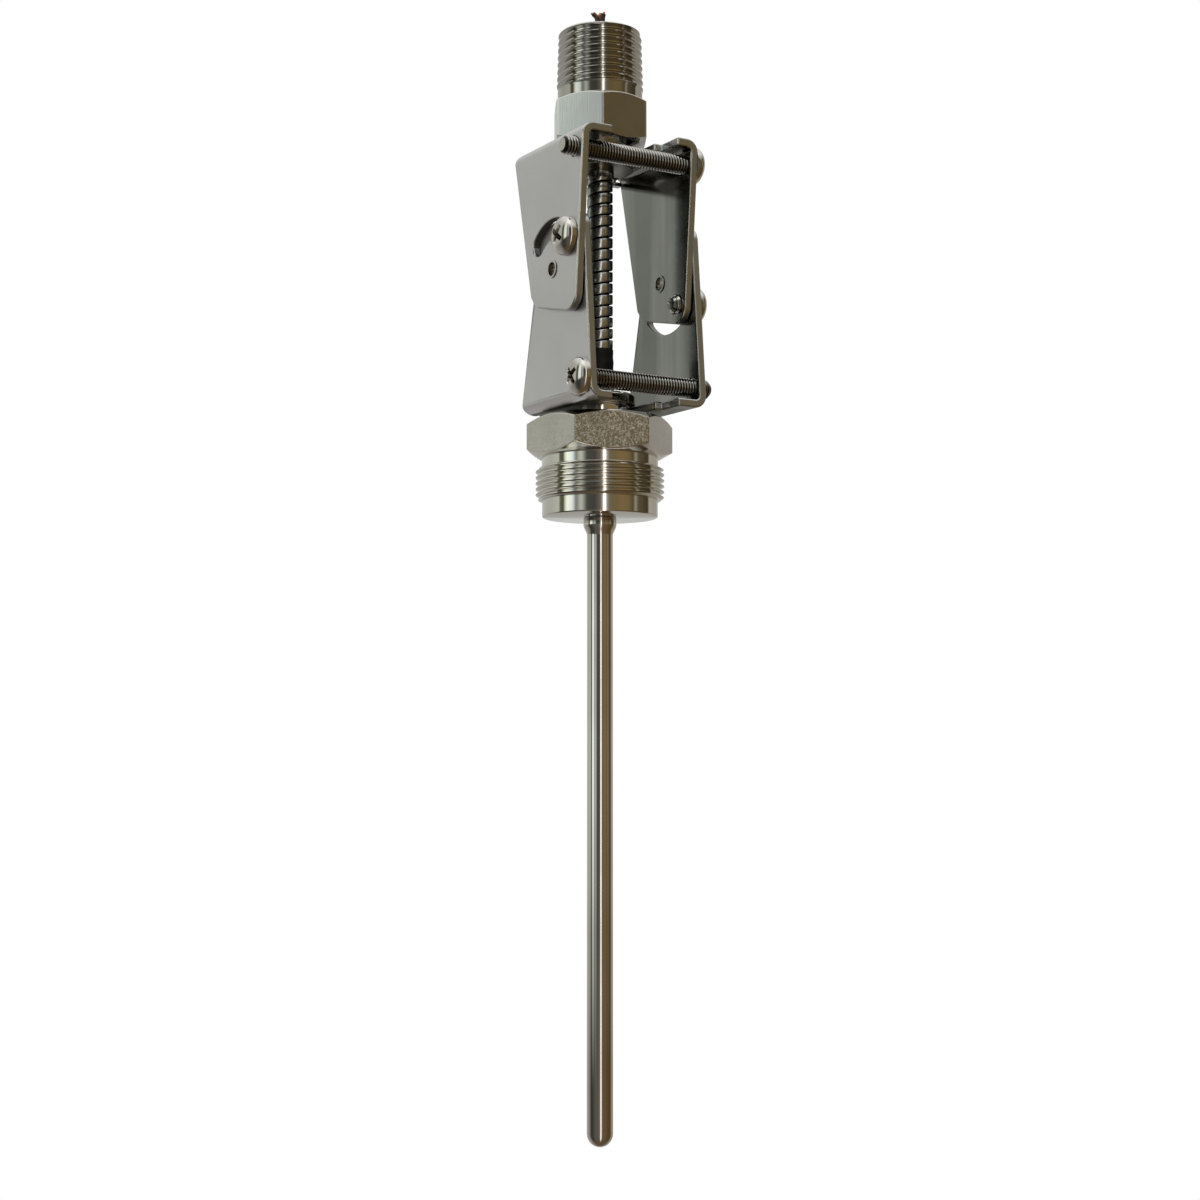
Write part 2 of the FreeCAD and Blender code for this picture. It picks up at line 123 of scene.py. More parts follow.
class FittingSizes(bpy.types.PropertyGroup):
    """Process fitting and stem."""

    thread_radius: length("Thread radius", "Radius over the straight thread's crests", 0.015875)
    thread_pitch: length("Thread pitch", "Rise of the straight thread in one turn", INCH / 18)
    thread_depth: length("Thread depth", "Crest to root of the straight thread", 0.00085)
    thread_top: height("Thread top", "Where the straight thread meets its relief", 0.0072)
    thread_chamfer: length("Thread chamfer", "Lead-in chamfer of the straight thread", 0.0007)
    relief_radius: length("Relief radius", "Radius of the turned relief above the thread", 0.01435)
    pilot_radius: length("Pilot radius", "Radius of the plain pilot below the thread", 0.01425)
    pilot_edge: length("Pilot edge", "Rounded edge of the pilot", 0.0003)
    hex_flats: length("Hexagon flats", "Width across the flats", 1.25 * INCH)
    hex_bottom: height("Hexagon bottom", "Lower face of the hexagon", 0.0098)
    hex_top: height("Hexagon top", "Upper face of the hexagon", 0.0196)
    hex_turn: turn("Hexagon turn", "Turn of one corner from the front towards the right", 9.0)
    neck_radius: length("Neck radius", "Radius of the neck that the web grips", 0.00715)
    collar_radius: length("Collar radius", "Radius of the collar above the web", 0.0088)
    collar_bottom: height("Collar bottom", "Lower face of the collar", 0.0228)
    socket_radius: length("Conduit socket", "Radius of the hole for the conduit", 0.00325)
    socket_depth: length("Conduit socket depth", "Depth of the hole for the conduit", 0.003)
    stem_radius: length("Stem radius", "Outside radius of the stem", 0.003175)
    stem_socket: length("Stem socket", "Depth of the stem in the pilot", 0.012)
    braze_spread: length("Braze spread", "Width of the braze on the pilot's face", 0.0009)
    braze_straight: length("Braze straight", "Straight part of the braze below the pilot", 0.0017)
    braze_height: length("Braze height", "Whole height of the braze", 0.0045)


class NippleSizes(bpy.types.PropertyGroup):
    """Head nipple and leads."""

    thread_radius: length("Thread radius", "Radius over the crests at the rim", 0.010375)
    thread_pitch: length("Thread pitch", "Rise of the taper thread in one turn", INCH / 14)
    thread_depth: length("Thread depth", "Crest to root of the taper thread", 0.00095)
    thread_bottom: height("Thread bottom", "Where the taper thread runs out", 0.1017)
    rim_chamfer: length("Rim chamfer", "Chamfer round the rim", 0.0008)
    bore_radius: length("Bore radius", "Radius of the open bore", 0.007)
    seal_drop: length("Seal drop", "Depth of the potting below the rim", 0.00205)
    relief_radius: length("Relief radius", "Radius of the plain band above the hexagon", 0.0106)
    hex_flats: length("Hexagon flats", "Width across the flats", 0.875 * INCH)
    hex_bottom: height("Hexagon bottom", "Lower face of the hexagon", 0.0878)
    hex_top: height("Hexagon top", "Upper face of the hexagon", 0.0993)
    hex_turn: turn("Hexagon turn", "Turn of one corner from the front towards the right", -27.2)
    neck_radius: length("Neck radius", "Radius of the neck that the web grips", 0.00715)
    collar_radius: length("Collar radius", "Radius of the collar below the web", 0.0088)
    collar_top: height("Collar top", "Upper face of the collar", 0.0846)
    socket_radius: length("Ferrule socket", "Radius of the hole for the ferrule", 0.00355)
    lead_radius: length("Lead radius", "Outside radius of a lead", 0.0006)
    lead_hook: length("Lead hook", "Height of the bend at a lead's end", 0.0019)
    core_radius: length("Core radius", "Radius of a lead's bare core", 0.00032)
    core_bare: length("Bare core", "Length of core that the insulation leaves bare", 0.0005)


class HingeSizes(bpy.types.PropertyGroup):
    """Brackets, screws and rivets."""

    sheet_rounding: length("Sheet edge", "Rounding of the sheet's cut edges", 0.00035)
    lip_rounding: length("Lip edge", "Rounding of the short lip at the back", 0.00008)
    hole_rounding: length("Hole edge", "Rounding round the rivet holes", 0.0001)
    sheet: length("Sheet", "Thickness of the folded sheet", 0.002)
    screw_radius: length("Screw radius", "Radius over the screws' crests", 0.002325)
    tie_pitch: length("Tie screw pitch", "Rise of a tie screw's thread in one turn", INCH / 32)
    lock_pitch: length("Lock screw pitch", "Rise of a lock screw's thread in one turn", 0.0013)
    screw_depth: length("Screw depth", "Crest to root of the screw thread", 0.00045)
    head_radius: length("Head radius", "Radius of the pan heads", 0.00475)
    head_height: length("Head height", "Height of the pan heads", 0.0032)
    head_rim: length("Head rim", "Straight rim of the pan heads", 0.0008)
    recess_span: length("Recess span", "Length of the cross recess over two wings", 0.0056)
    recess_width: length("Recess width", "Width of a wing of the cross recess", 0.00125)
    recess_depth: length("Recess depth", "Depth of the cross recess", 0.0021)
    rivet_bore: length("Rivet bore", "Radius of the hole through a rivet", 0.00165)
    rivet_radius: length("Rivet radius", "Radius of a rivet's shank", 0.002)
    rivet_rim: length("Rivet rim", "Height of a rivet's rolled rim", 0.00015)


class ConduitSizes(bpy.types.PropertyGroup):
    """Conduit, ferrule and sleeve."""

    conduit_radius: length("Conduit radius", "Radius over the conduit's turns", 0.0032)
    conduit_pitch: length("Conduit pitch", "Rise of the wound strip in one turn", 0.00285)
    conduit_groove: length("Groove depth", "Depth between two turns", 0.00085)
    groove_share: bpy.props.FloatProperty(
        name="Groove share", description="Share of a turn that the groove takes",
        default=0.14, min=0.05, max=0.5, subtype="FACTOR",
    )
    conduit_bore: length("Conduit bore", "Inside radius of the conduit", 0.0021)
    strip_burr: length("Strip burr", "Reach of the strip's cut end beyond the turns", 0.0016)
    sleeve_wall: length("Sleeve wall", "Thickness of the shrunk sleeve at its foot", 0.00035)
    sleeve_top_wall: length("Sleeve top wall", "Thickness of the shrunk sleeve at its top", 0.0001)
    sleeve_ripple: length("Sleeve ripple", "Height of the turns that show through the sleeve", 0.00005)


class ProbeColours(bpy.types.PropertyGroup):
    """Colours of the finishes."""

    turned: colour("Turned steel", "Turned stainless steel", (0.66, 0.64, 0.60))
    nipple: colour("Nipple steel", "Turned steel of the nipple's thread", (0.49, 0.48, 0.45))
    # Painted shade: a darker copy of the turned steel for the nipple's thread
    drawn: colour("Drawn steel", "Drawn hexagon bar", (0.56, 0.55, 0.51))
    stem: colour("Stem steel", "Polished stem tube", (0.66, 0.64, 0.61))
    sheet: colour("Sheet steel", "Satin outside of the rolled sheet", (0.62, 0.61, 0.63))
    # Painted shade: a darker copy of the sheet colour for the faces inside the folds
    sheet_inside: colour("Sheet inside", "Dull inside of the folds", (0.22, 0.225, 0.215))
    sheet_edge: colour("Sheet edge", "Sheared and deburred edges", (0.50, 0.52, 0.53))
    sheet_corner: colour("Sheet corner", "Burnished corners of the sheet", (0.56, 0.55, 0.54))
    # Painted shade for the walls of slots and holes and for undersides
    shade_wall: colour("Slot wall", "Dark walls of the slots and holes", (0.16, 0.16, 0.135))
    screw: colour("Screw steel", "Bright screws and rivets", (0.58, 0.56, 0.53))
    strip: colour("Conduit strip", "Wound conduit strip", (0.52, 0.54, 0.55))
    # Painted shade for grooves, thread roots, head recesses and rivet bores
    grime: colour("Groove grime", "Dark deposit in grooves", (0.030, 0.026, 0.022))
    sleeve: colour("Sleeve", "Shrunk black sleeve", (0.008, 0.008, 0.008))
    potting: colour("Potting", "Potting compound", (0.05, 0.045, 0.04))
    ceramic: colour("Ceramic", "White ceramic", (0.82, 0.80, 0.74))
    copper: colour("Copper", "Bare lead core", (0.80, 0.42, 0.24))
    brown_lead: colour("Brown lead", "Dark brown insulation", (0.055, 0.028, 0.018))
    red_lead: colour("Red lead", "Orange-red insulation", (0.60, 0.13, 0.035))
    black_lead: colour("Black lead", "Black insulation", (0.016, 0.015, 0.015))
    floor: colour("Floor", "Pale floor", (0.80, 0.80, 0.80))


class StageSettings(bpy.types.PropertyGroup):
    """Floor, lights and camera."""

    floor_drop: length("Floor drop", "Gap between the stem's tip and the floor", 0.25)
    floor_radius: length("Floor radius", "Radius of the round floor", 1.0)
    camera_place: bpy.props.FloatVectorProperty(
        name="Camera place", description="Where the camera stands", default=(-0.2581, -0.4282, -0.0621),
        size=3, subtype="TRANSLATION", unit="LENGTH",
    )
    camera_turn: turn("Camera turn", "Turn of the view from straight back towards the right", 31.081)
    camera_lift: turn("Camera lift", "Upward tilt of the view", 4.216)
    camera_lens: bpy.props.FloatProperty(
        name="Lens", description="Focal length in millimetres", default=61.23, min=10.0
    )
    top_power: bpy.props.FloatProperty(
        name="Top light", description="Power of the soft light overhead", default=0.5, unit="POWER"
    )
    top_size: length("Top light size", "Width of the soft light overhead", 0.6)
    top_place: bpy.props.FloatVectorProperty(
        name="Top light place", description="Right of, behind and above the origin, as the camera looks",
        default=(-0.25, -0.35, 1.0), size=3, subtype="TRANSLATION", unit="LENGTH",
    )


# Shapes


def reach_of(vert):
    """Distance of a point from the Z axis."""
    return math.hypot(vert.co.x, vert.co.y)


def set_reach(vert, radius):
    """Moves a point straight in or out to a distance from the Z axis."""
    share = radius / reach_of(vert)
    vert.co.x *= share
    vert.co.y *= share


def rim_of(bm, level):
    """Open edges of a shape at one height."""
    return [
        edge for edge in bm.edges
        if edge.is_boundary and all(abs(vert.co.z - level) < SAME_PLACE for vert in edge.verts)
    ]


def extend(bm, rim, stations):
    """Extrudes a rim about Z through stations, each a radius and height or a function of the angle."""
    for station in stations:
        made = bmesh.ops.extrude_edge_only(bm, edges=rim)["geom"]
        verts = {item for item in made if isinstance(item, bmesh.types.BMVert)}
        for vert in verts:
            angle = math.atan2(vert.co.y, vert.co.x)
            radius, level = station(angle) if callable(station) else station
            vert.co = (radius * math.cos(angle), radius * math.sin(angle), level)
        edges = {edge for vert in verts for edge in vert.link_edges}
        rim = [edge for edge in edges if edge.verts[0] in verts and edge.verts[1] in verts]
    return rim


def turned_stack(bm, stations, steps=STEPS, start=0.0):
    """Closed turned shape from stations, flat at both ends."""
    radius, level = stations[0]
    place = Matrix.Translation((0, 0, level)) @ Matrix.Rotation(start, 4, "Z")
    made = bmesh.ops.create_circle(bm, segments=steps, radius=radius, matrix=place)["verts"]
    first = list({edge for vert in made for edge in vert.link_edges})
    last = extend(bm, first, stations[1:])
    bmesh.ops.edgeloop_fill(bm, edges=first)
    bmesh.ops.edgeloop_fill(bm, edges=last)


def turned_tube(bm, outline, rounding, steps=STEPS):
    """Ring turned about Z from a closed outline of radii and heights, with its corners rounded."""
    verts = [bm.verts.new((radius, 0, level)) for radius, level in outline]
    edges = [bm.edges.new((verts[index - 1], vert)) for index, vert in enumerate(verts)]
    bmesh.ops.bevel(
        bm, geom=verts + edges, offset=rounding, offset_type="OFFSET", segments=3, profile=0.5,
        affect="VERTICES", clamp_overlap=True, material=-1,
    )
    bmesh.ops.spin(
        bm, geom=bm.verts[:] + bm.edges[:], cent=(0, 0, 0), axis=(0, 0, 1), dvec=(0, 0, 0),
        angle=2 * math.pi, steps=steps, use_merge=True, use_duplicate=False,
    )


def thread_outline(crest, depth, pitch):
    """One pitch of a thread with rounded crest and root."""
    shares = [
        (0.00, 0.00), (0.09, 0.00), (0.15, 0.10), (0.39, 0.88), (0.45, 1.00),
        (0.55, 1.00), (0.61, 0.88), (0.85, 0.10), (0.91, 0.00),
    ]
    return [(crest - depth + depth * rise, pitch * along) for along, rise in shares]


def helix(bm, outline, pitch, low, high, steps=STEPS):
    """Right-hand helical surface between two heights, one pitch of its outline repeated."""
    turns = math.ceil((high - low) / pitch) + 2
    previous = None
    for index in range(turns):
        for radius, rise in outline:
            vert = bm.verts.new((radius, 0, low + (index - 1) * pitch + rise))
            if previous:
                bm.edges.new((previous, vert))
            previous = vert
    bmesh.ops.spin(
        bm, geom=bm.verts[:] + bm.edges[:], cent=(0, 0, 0), axis=(0, 0, 1), dvec=(0, 0, pitch / steps),
        angle=2 * math.pi, steps=steps, use_merge=False, use_duplicate=False,
    )
    bmesh.ops.remove_doubles(bm, verts=bm.verts, dist=SAME_PLACE)
    for level, below in ((low, True), (high, False)):
        bmesh.ops.bisect_plane(
            bm, geom=bm.verts[:] + bm.edges[:] + bm.faces[:], dist=1e-8, plane_co=(0, 0, level),
            plane_no=(0, 0, 1), clear_inner=below, clear_outer=not below,
        )
    for vert in bm.verts:
        for level in (low, high):
            if abs(vert.co.z - level) < SAME_PLACE:
                vert.co.z = level


def limit_radius(bm, limit):
    """Keeps every point of a shape within a radius that depends on its height."""
    for vert in bm.verts:
        most = limit(vert.co.z)
        if reach_of(vert) > most:
            set_reach(vert, most)


def between(value, low, high):
    """Share of the way from low to high, kept from 0 to 1."""
    return min(1.0, max(0.0, (value - low) / (high - low)))


def hexagon(flats, corner_angle, level, slope):
    """Station on a hexagon's outline, rising or falling outwards from the face circle."""
    face = flats / 2 * HEX_FACE

    def station(angle):
        share = (angle - corner_angle) % (math.pi / 3)
        radius = flats / 2 / math.cos(share - math.pi / 6)
        return radius, level + slope * (radius - face) * math.tan(HEX_CHAMFER)

    return station


def round_edges(bm, edges, rounding, segments=3, clamp=True):
    """Rounds edges evenly, and returns the new faces."""
    return bmesh.ops.bevel(
        bm, geom=edges, offset=rounding, offset_type="OFFSET", segments=segments, profile=0.5,
        affect="EDGES", clamp_overlap=clamp, loop_slide=False, material=-1,
    )["faces"]


def sharp_edges(bm, degrees):
    """Edges whose faces meet at more than an angle."""
    least = math.radians(degrees)
    return [edge for edge in bm.edges if edge.is_manifold and edge.calc_face_angle() > least]


def tidy_faces(bm):
    """Merges doubles and turns the faces outwards."""
    bmesh.ops.remove_doubles(bm, verts=bm.verts, dist=2e-8)
    bmesh.ops.dissolve_degenerate(bm, edges=bm.edges, dist=1e-8)
    bmesh.ops.recalc_face_normals(bm, faces=bm.faces)


def shade(bm, degrees):
    """Smooth shading with creases where faces meet at more than an angle."""
    for face in bm.faces:
        face.smooth = True
    for edge in sharp_edges(bm, degrees):
        edge.smooth = False


def new_mesh(name, bm):
    """New mesh from a bmesh, which is freed."""
    mesh = bpy.data.meshes.new(name)
    bm.to_mesh(mesh)
    bm.free()
    return mesh


def take_mesh(bm, mesh):
    """Adds a mesh to a bmesh, and removes the mesh."""
    bm.from_mesh(mesh)
    bpy.data.meshes.remove(mesh)


def add_object(name, data):
    """New object in the scene."""
    item = bpy.data.objects.new(name, data)
    bpy.context.scene.collection.objects.link(item)
    return item


def final_mesh(item):
    """New mesh of an object with its modifiers or its bevel."""
    bpy.context.view_layer.update()
    graph = bpy.context.evaluated_depsgraph_get()
    return bpy.data.meshes.new_from_object(item.evaluated_get(graph))


def make_piece(name, bm, materials, crease=32.0):
    """Finished object at the origin from a bmesh in place."""
    shade(bm, crease)
    mesh = new_mesh(name, bm)
    for material in materials:
        mesh.materials.append(material)
    piece = add_object(name, mesh)
    return piece


def even_normals(piece):
    """Lets the large faces rule the shading beside rounded edges."""
    modifier = piece.modifiers.new("Even normals", "WEIGHTED_NORMAL")
    modifier.mode = "FACE_AREA"
    modifier.keep_sharp = True


def stand_for(piece, body, *nodes):
    """Puts a piece in the place of CAD nodes and on their body."""
    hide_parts(*nodes)
    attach(piece, body)


# Finishes

BUMP_REACH = 0.0001
# Span of the grain that paints light streaks, painted reflections, on the inside finish
LIGHT_STREAK_SPAN = (0.48, 0.72)
VECTOR, NUMBER, TINT = "NodeSocketVector", "NodeSocketFloat", "NodeSocketColor"


def add_node(tree, kind, inputs=(), **settings):
    """New shader node with its settings; each input is linked to a socket or set to a value."""
    node = tree.nodes.new("ShaderNode" + kind)
    for label, value in settings.items():
        setattr(node, label, value)
    for label, value in dict(inputs).items():
        if isinstance(value, bpy.types.NodeSocket):
            tree.links.new(value, node.inputs[label])
        else:
            node.inputs[label].default_value = value
    return node


def work_out(tree, operation, *terms, **settings):
    """Result of a math node on sockets and values."""
    return add_node(tree, "Math", enumerate(terms), operation=operation, **settings).outputs["Value"]


def vector_work(tree, operation, *terms):
    """Outputs of a vector math node on sockets and values."""
    return add_node(tree, "VectorMath", enumerate(terms), operation=operation).outputs


def spread(tree, value, low=0.0, high=1.0, first=0.0, second=1.0):
    """Value carried from one span to another and kept within it."""
    limits = {"Value": value, "From Min": low, "From Max": high, "To Min": first, "To Max": second}
    return add_node(tree, "MapRange", limits).outputs["Result"]


def mixed(tree, share, first, second):
    """Colour between two, by a share."""
    return add_node(tree, "Mix", {0: share, 6: first, 7: second}, data_type="RGBA").outputs[2]


def ramp_between(tree, factor, first, second):
    """Colour ramp from one colour to another, by a mask."""
    node = add_node(tree, "ValToRGB", {"Fac": factor})
    node.color_ramp.elements[0].color = (*first, 1.0)
    node.color_ramp.elements[1].color = (*second, 1.0)
    return node.outputs["Color"]


def handling(group, source):
    """Smudges and short fine scratches as one mask."""
    vector = source["Vector"]
    smudge = add_node(
        group, "TexNoise", {"Vector": vector, "Scale": source["Size"], "Detail": 4.0, "Roughness": 0.55}
    )
    stretch = add_node(
        group, "Mapping", {"Vector": vector, "Rotation": (0.2, 0.5, 0.3), "Scale": (2400.0, 1900.0, 110.0)}
    )
    scratch = add_node(group, "TexNoise", {"Vector": stretch.outputs["Vector"], "Scale": 1.0, "Detail": 2.0})
    faint = work_out(group, "MULTIPLY", spread(group, scratch.outputs["Fac"], 0.62, 0.74), source["Scratch"])
    return work_out(group, "ADD", spread(group, smudge.outputs["Fac"], 0.35, 0.7), faint, use_clamp=True)


def tool_marks(group, source):
    """Fine rings left by turning, the same all the way round the Z axis."""
    split = add_node(group, "SeparateXYZ", {"Vector": source["Vector"]}).outputs
    flat = add_node(group, "CombineXYZ", {"X": split["X"], "Y": split["Y"]}).outputs["Vector"]
    along = work_out(group, "ADD", vector_work(group, "LENGTH", flat)["Value"], split["Z"])
    rings = add_node(
        group, "TexNoise", {"W": along, "Scale": source["Density"], "Detail": 3.0, "Roughness": 0.65},
        noise_dimensions="1D",
    )
    return rings.outputs["Fac"]


def bar_grain(group, source):
    """Coarse grain of drawn bar or rolled sheet."""
    shape = vector_work(group, "MULTIPLY", source["Vector"], source["Stretch"])["Vector"]
    noise = add_node(
        group, "TexNoise", {"Vector": shape, "Scale": source["Size"], "Detail": 3.0, "Roughness": 0.6}
    )
    return spread(group, noise.outputs["Fac"], source["Floor"])


def wear_track(group, source):
    """Upper half of a ring on the left that a sliding leg has rubbed dull, round an axis along X."""
    apart = vector_work(group, "SUBTRACT", source["Vector"], source["Centre"])["Vector"]
    level = vector_work(group, "MULTIPLY", apart, (0.0, 1.0, 1.0))["Vector"]
    radius = vector_work(group, "LENGTH", level)["Value"]
    past = work_out(group, "GREATER_THAN", radius, source["Inner"])
    ring = work_out(group, "MULTIPLY", past, work_out(group, "LESS_THAN", radius, source["Outer"]))
    parts = add_node(group, "SeparateXYZ", {"Vector": apart}).outputs
    upper = work_out(group, "MULTIPLY", ring, spread(group, parts["Z"], -0.001, 0.004))
    return work_out(group, "MULTIPLY", upper, work_out(group, "LESS_THAN", parts["X"], 0.01))


def paint_groove_shade(group, source):
    """Painted shade in grooves, by how near a point is to the crest."""
    return mixed(group, spread(group, source["Crest"], 0.15, 0.9), source["Grime"], source["Steel"])


PLACE = ("Vector", VECTOR, None)
EFFECTS = {
    "Handling": (handling, "Mask", NUMBER, [PLACE, ("Size", NUMBER, 60.0), ("Scratch", NUMBER, 0.3)]),
    "Tool Marks": (tool_marks, "Height", NUMBER, [PLACE, ("Density", NUMBER, 9000.0)]),
    "Grain": (bar_grain, "Height", NUMBER, [
        PLACE, ("Stretch", VECTOR, (1.0, 1.0, 1.0)), ("Size", NUMBER, 2600.0), ("Floor", NUMBER, 0.0),
    ]),
    "Wear Track": (wear_track, "Mask", NUMBER, [
        PLACE, ("Centre", VECTOR, (0.0, 0.0, 0.0)), ("Inner", NUMBER, 0.006), ("Outer", NUMBER, 0.013),
    ]),
    "Groove Grime": (paint_groove_shade, "Color", TINT, [
        ("Crest", NUMBER, 1.0), ("Steel", TINT, (0.5, 0.5, 0.5, 1.0)),
        ("Grime", TINT, (0.03, 0.03, 0.03, 1.0)),
    ]),
}


def effect(tree, name, inputs):
    """Output of a shared effect in a material; the effect's node group is made at its first use."""
    if name not in bpy.data.node_groups:
        build, label, kind, sockets = EFFECTS[name]
        group = bpy.data.node_groups.new(name, "ShaderNodeTree")
        for socket_name, socket_kind, default in sockets:
            socket = group.interface.new_socket(name=socket_name, in_out="INPUT", socket_type=socket_kind)
            if default is not None:
                socket.default_value = default
        group.interface.new_socket(name=label, in_out="OUTPUT", socket_type=kind)
        source = group.nodes.new("NodeGroupInput").outputs
        result = group.nodes.new("NodeGroupOutput")
        group.links.new(build(group, source), result.inputs[label])
    return add_node(tree, "Group", inputs, node_tree=bpy.data.node_groups[name]).outputs[0]


def new_material(name, coordinates="Object"):
    """Empty node material, with its tree, its shader's inputs and its coordinates."""
    material = bpy.data.materials.new(name)
    material.use_nodes = True
    tree = material.node_tree
    vector = add_node(tree, "TexCoord").outputs[coordinates]
    return material, tree, tree.nodes["Principled BSDF"].inputs, vector


def grain(size, strength, stretch=(1.0, 1.0, 1.0), floor=0.0, reach=BUMP_REACH):
    """Surface marks of a grain."""
    return "Grain", {"Size": size, "Stretch": stretch, "Floor": floor}, strength, reach


def rings():
    """Surface marks of turning."""
    return "Tool Marks", {"Density": 9000.0}, 0.03, BUMP_REACH


def dress(tree, shader, vector, tint, sheen, marks):
    """Links a finish's colour, sheen and surface marks to its shader."""
    kind, values, strength, reach = marks
    relief = effect(tree, kind, {"Vector": vector, **values})
    bump = add_node(tree, "Bump", {"Height": relief, "Strength": strength, "Distance": reach})
    for label, output in (("Base Color", tint), ("Roughness", sheen), ("Normal", bump.outputs["Normal"])):
        tree.links.new(output, shader[label])


def steel(
    name, base, rough, marks, size=55.0, scratch=0.3, stain=0.88,
    grime=None, light_streaks=None, track=None, coordinates="Object",
):
    """Metal with handling marks, and rings or grain as its surface."""
    if name in bpy.data.materials:
        return bpy.data.materials[name]
    material, tree, shader, vector = new_material(name, coordinates)
    shader["Metallic"].default_value = 1.0
    mask = effect(tree, "Handling", {"Vector": vector, "Size": size, "Scratch": scratch})
    tint = ramp_between(tree, mask, base, [part * stain for part in base])
    # Painted light streaks: lighter bands of grain that stand in for reflections
    if light_streaks:
        values, lift = light_streaks
        share = spread(tree, effect(tree, "Grain", {"Vector": vector, **values}), *LIGHT_STREAK_SPAN)
        tint = mixed(tree, share, tint, (*(part * lift for part in base), 1.0))
    # Painted shade in grooves and recesses, by the crest attribute
    if grime is not None:
        crest = add_node(tree, "Attribute", attribute_name="crest").outputs["Fac"]
        tint = effect(tree, "Groove Grime", {"Crest": crest, "Steel": tint, "Grime": (*grime, 1.0)})
    sheen = spread(tree, mask, 0.0, 1.0, *rough)
    if track:
        values, wear_and_shade_value = track
        ring = effect(tree, "Wear Track", {"Vector": vector, **values})
        sheen = add_node(tree, "Mix", {0: ring, 2: sheen, 3: wear_and_shade_value}).outputs[0]
    dress(tree, shader, vector, tint, sheen, marks)
    return material


def soft_finish(name, base, rough, size, lift, bump, coordinates="Object", shine=0.5):
    """Plastic, rubber, potting or ceramic with a mottled surface."""
    if name in bpy.data.materials:
        return bpy.data.materials[name]
    material, tree, shader, vector = new_material(name, coordinates)
    shader["Specular IOR Level"].default_value = shine
    mask = effect(tree, "Handling", {"Vector": vector, "Size": size, "Scratch": 0.2})
    tint = ramp_between(tree, mask, base, [min(1.0, part * lift) for part in base])
    dress(tree, shader, vector, tint, spread(tree, mask, 0.0, 1.0, *rough), grain(size * 12.0, bump))
    return material


def turned_steel(colours):
    return steel("turned_finish", colours.turned, (0.05, 0.10), rings())


# Turned steel darkened as painted shade for the nipple's thread
def shaded_nipple_steel(colours):
    return steel("nipple_finish", colours.nipple, (0.05, 0.10), rings())


def drawn_steel(colours):
    marks = grain(2300.0, strength=0.45, stretch=(1.0, 1.0, 0.8), floor=0.53, reach=0.0003)
    return steel("drawn_finish", colours.drawn, (0.07, 0.12), marks, size=70.0, scratch=0.5)


def smooth_drawn_steel(colours):
    marks = grain(3000.0, strength=0.05, stretch=(1.0, 1.0, 0.06))
    return steel("smooth_drawn_finish", colours.drawn, (0.09, 0.15), marks, size=70.0, scratch=0.5)


def stem_steel(colours):
    marks = grain(3000.0, strength=0.015, stretch=(1.0, 1.0, 0.05))
    return steel("stem_finish", colours.stem, (0.03, 0.06), marks, size=40.0, scratch=0.2)


def sheet_steel(colours, name="sheet_finish", track=None):
    marks = grain(4200.0, strength=0.04, stretch=(1.0, 1.0, 0.12))
    return steel(
        name, colours.sheet, (0.26, 0.32), marks, size=45.0, scratch=0.15, stain=0.92, track=track
    )


def worn_sheet_steel(colours, pivot):
    track = ({"Centre": tuple(pivot), "Inner": 0.006, "Outer": 0.013}, 0.7)
    return sheet_steel(colours, "worn_sheet_finish", track)


# Sheet finish darkened as painted shade for the faces inside the folds and the rivets' inner faces
def shaded_inside_steel(colours):
    marks = grain(3200.0, strength=0.03, stretch=(1.0, 1.0, 0.1))
    light_streaks = ({"Stretch": (0.0, 1.0, 0.05), "Size": 70.0}, 1.7)
    return steel(
        "inside_finish", colours.sheet_inside, (0.12, 0.18), marks, size=60.0, scratch=0.2, stain=0.85,
        light_streaks=light_streaks,
    )


def corner_steel(colours):
    marks = grain(2600.0, strength=0.03)
    return steel(
        "corner_finish", colours.sheet_corner, (0.12, 0.2), marks, size=160.0, scratch=0.2, stain=0.9
    )


# Dark finish that paints shade on slot and hole walls and on undersides
def painted_shade_steel(colours):
    marks = grain(2600.0, strength=0.04, stretch=(0.2, 1.0, 1.0))
    return steel("slot_finish", colours.shade_wall, (0.3, 0.45), marks, size=160.0, scratch=0.2, stain=0.85)


def edge_steel(colours):
    marks = grain(2600.0, strength=0.04, stretch=(1.0, 0.2, 0.6))
    return steel(
        "edge_finish", colours.sheet_edge, (0.26, 0.36), marks, size=160.0, scratch=0.2, stain=0.85
    )


def screw_steel(colours):
    marks = grain(1500.0, strength=0.015)
    return steel("screw_finish", colours.screw, (0.05, 0.11), marks, size=120.0, grime=colours.grime)


def rivet_steel(colours):
    marks = grain(2400.0, strength=0.04)
    return steel("rivet_finish", colours.screw, (0.12, 0.2), marks, size=160.0, grime=colours.grime)


def ring_steel(colours):
    marks = grain(2400.0, strength=0.04)
    return steel("ring_finish", colours.screw, (0.12, 0.2), marks, size=160.0)


def strip_steel(colours):
    """Wound strip with painted shade in its grooves and at its rims, patterned along its own surface."""
    marks = grain(3000.0, strength=0.04, stretch=(0.15, 1.0, 1.0))
    material = steel(
        "strip_finish", colours.strip, (0.18, 0.28), marks, size=160.0, scratch=0.4,
        grime=colours.grime, coordinates="UV",
    )
    shader = material.node_tree.nodes["Principled BSDF"].inputs
    # Near-black edge tint: painted shade at the rims
    shader["Specular Tint"].default_value = (0.03, 0.03, 0.03, 1.0)
    return material


def copper_core(colours):
    marks = grain(6000.0, strength=0.2, stretch=(1.0, 1.0, 0.1))
    return steel("copper_finish", colours.copper, (0.25, 0.4), marks, size=600.0)


def sleeve_rubber(colours):
    return soft_finish(
        "sleeve_finish", colours.sleeve, (0.42, 0.58), size=220.0, lift=1.7, bump=0.25,
        coordinates="UV", shine=0.25,
    )


